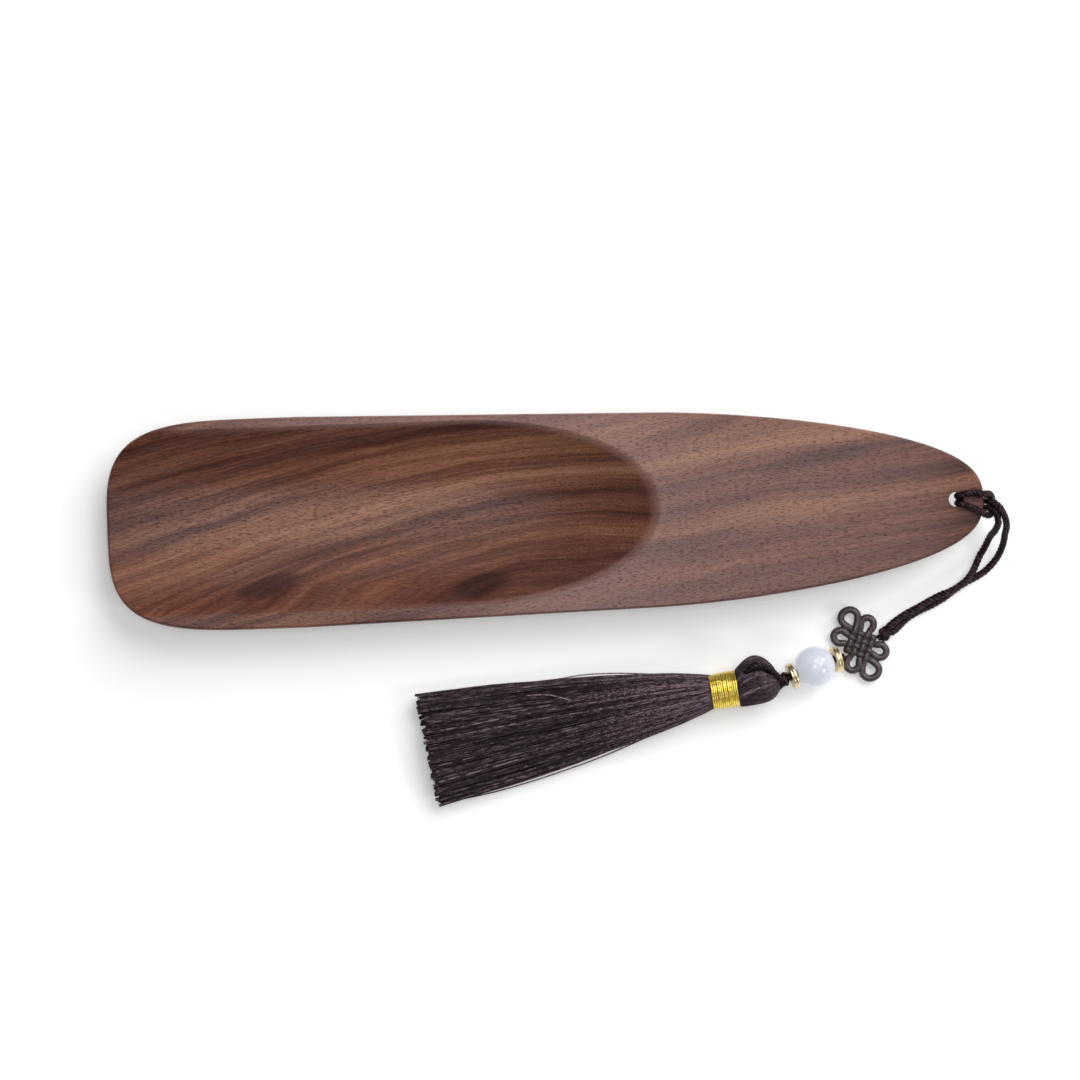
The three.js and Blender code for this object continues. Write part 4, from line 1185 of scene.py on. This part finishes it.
def make_charm():
    base = line_mesh("woven_charm", charm_rings(), closed=True)
    holder = shown("woven_charm", grown("woven_charm", moulded_charm(), FINISHES["charm"], base))
    fuse = holder.modifiers.new("fused", "REMESH")
    fuse.mode = "VOXEL"
    fuse.voxel_size = CHARM_VOXEL * MM
    fuse.use_smooth_shade = True
    soften = holder.modifiers.new("softened", "SMOOTH")
    soften.factor = CHARM_SOFTENING
    soften.iterations = 1
    mesh = baked(holder)
    mesh.materials.clear()
    mesh.materials.append(FINISHES["charm"])
    placed("woven_charm", mesh, "endless_knot_charm", "charm")


def make_bead_and_spacers():
    placed("milky_bead", bead_mesh(), "bead", "bead")
    for word in ("upper", "lower"):
        name = f"{word}_rondelle"
        spacer = f"{word}_spacer"
        placed(name, spacer_mesh(name, f"{spacer}_spin"), spacer, spacer)


def make_tassel():
    loop = line_mesh("folded_silk_head", [loop_route()])
    head = grown("folded_silk_head", silk_head(), FINISHES["silk"], loop)
    placed("folded_silk_head", head, "tassel_head", "tassel")
    binding = grown("gold_thread_binding", wound_binding(), FINISHES["gold_thread"])
    placed("gold_thread_binding", binding, "gold_binding", "tassel")
    skirt = silk_skirt()
    for word, side, seed, strays in (("upper", 1.0, 1, stray_routes()), ("lower", -1.0, 2, [])):
        name = f"{word}_skirt_threads"
        half = grown(name, skirt, FINISHES["silk"], line_mesh(name, strays), Side=side, Seed=seed)
        placed(name, half, f"skirt_{word}", "tassel")


# Camera, light and floor

def make_camera():
    data = bpy.data.cameras.new("camera")
    data.lens = CAMERA_LENS
    data.sensor_width = CAMERA_SENSOR
    camera = shown("camera", data)
    camera.location = CAMERA_AT
    camera.rotation_euler = (0, 0, math.radians(CAMERA_TURN))
    scene.camera = camera


def softbox(name, at, size, radiance):
    """Square area light, aimed at the object, of a given brightness over its whole face."""
    data = bpy.data.lights.new(name, "AREA")
    data.size = size
    data.energy = ENERGY_OF_RADIANCE * radiance * size * size
    light = shown(name, data)
    light.location = at
    light.rotation_euler = (-Vector(at)).to_track_quat("-Z", "Y").to_euler()
    light.visible_camera = False


def seen_directly(g, share=1.0):
    """One for rays from the camera, and a share for those that metal and glass send on to the background."""
    path = g.node("ShaderNodeLightPath", output="Is Camera Ray")
    mirrored = g.math("MAXIMUM", path.part("Is Glossy Ray"), path.part("Is Transmission Ray"))
    return g.math("MAXIMUM", path, mirrored * share)


def make_floor():
    mesh = bpy.data.meshes.new("floor")
    half = FLOOR_SIZE / 2
    corners = [(-half, -half, 0), (half, -half, 0), (half, half, 0), (-half, half, 0)]
    mesh.from_pydata(corners, [], [(0, 1, 2, 3)])
    floor = shown("floor", mesh)

    def paper(g):
        return {"Emission Color": g.mix(seen_directly(g), BLACK, WHITE)}

    fixed = {
        "Base Color": (0.9, 0.9, 0.9, 1), "Roughness": 1.0, "Specular IOR Level": 0.0,
        "Emission Strength": FLOOR_GLOW,
    }
    mesh.materials.append(finish("white_paper", fixed, paper))


def make_world():
    """Soft fill on the object, and white where the background itself is seen."""
    world = bpy.data.worlds.new("studio")
    world.use_nodes = True
    scene.world = world
    g = Graph(world.node_tree)
    levels = (WORLD_FILL, 1)
    fill, white = (g.node("ShaderNodeBackground", {"Color": WHITE, "Strength": level}) for level in levels)
    height = g.xyz(g.node("ShaderNodeTexCoord", output="Generated"))[2]
    horizon = 1 - g.smooth(height, *HORIZON)
    both = g.node("ShaderNodeMixShader", {0: seen_directly(g, horizon), 1: fill, 2: white})
    g.feed(world.node_tree.nodes["World Output"].inputs["Surface"], both)


def make_studio():
    scene.view_settings.view_transform = "Standard"
    make_camera()
    make_floor()
    make_world()
    for name, box in SOFTBOXES.items():
        softbox(name, *box)


CORD_TREE = laid_cord()

make_studio()
make_scoop()
make_cords()
make_charm()
make_bead_and_spacers()
make_tassel()
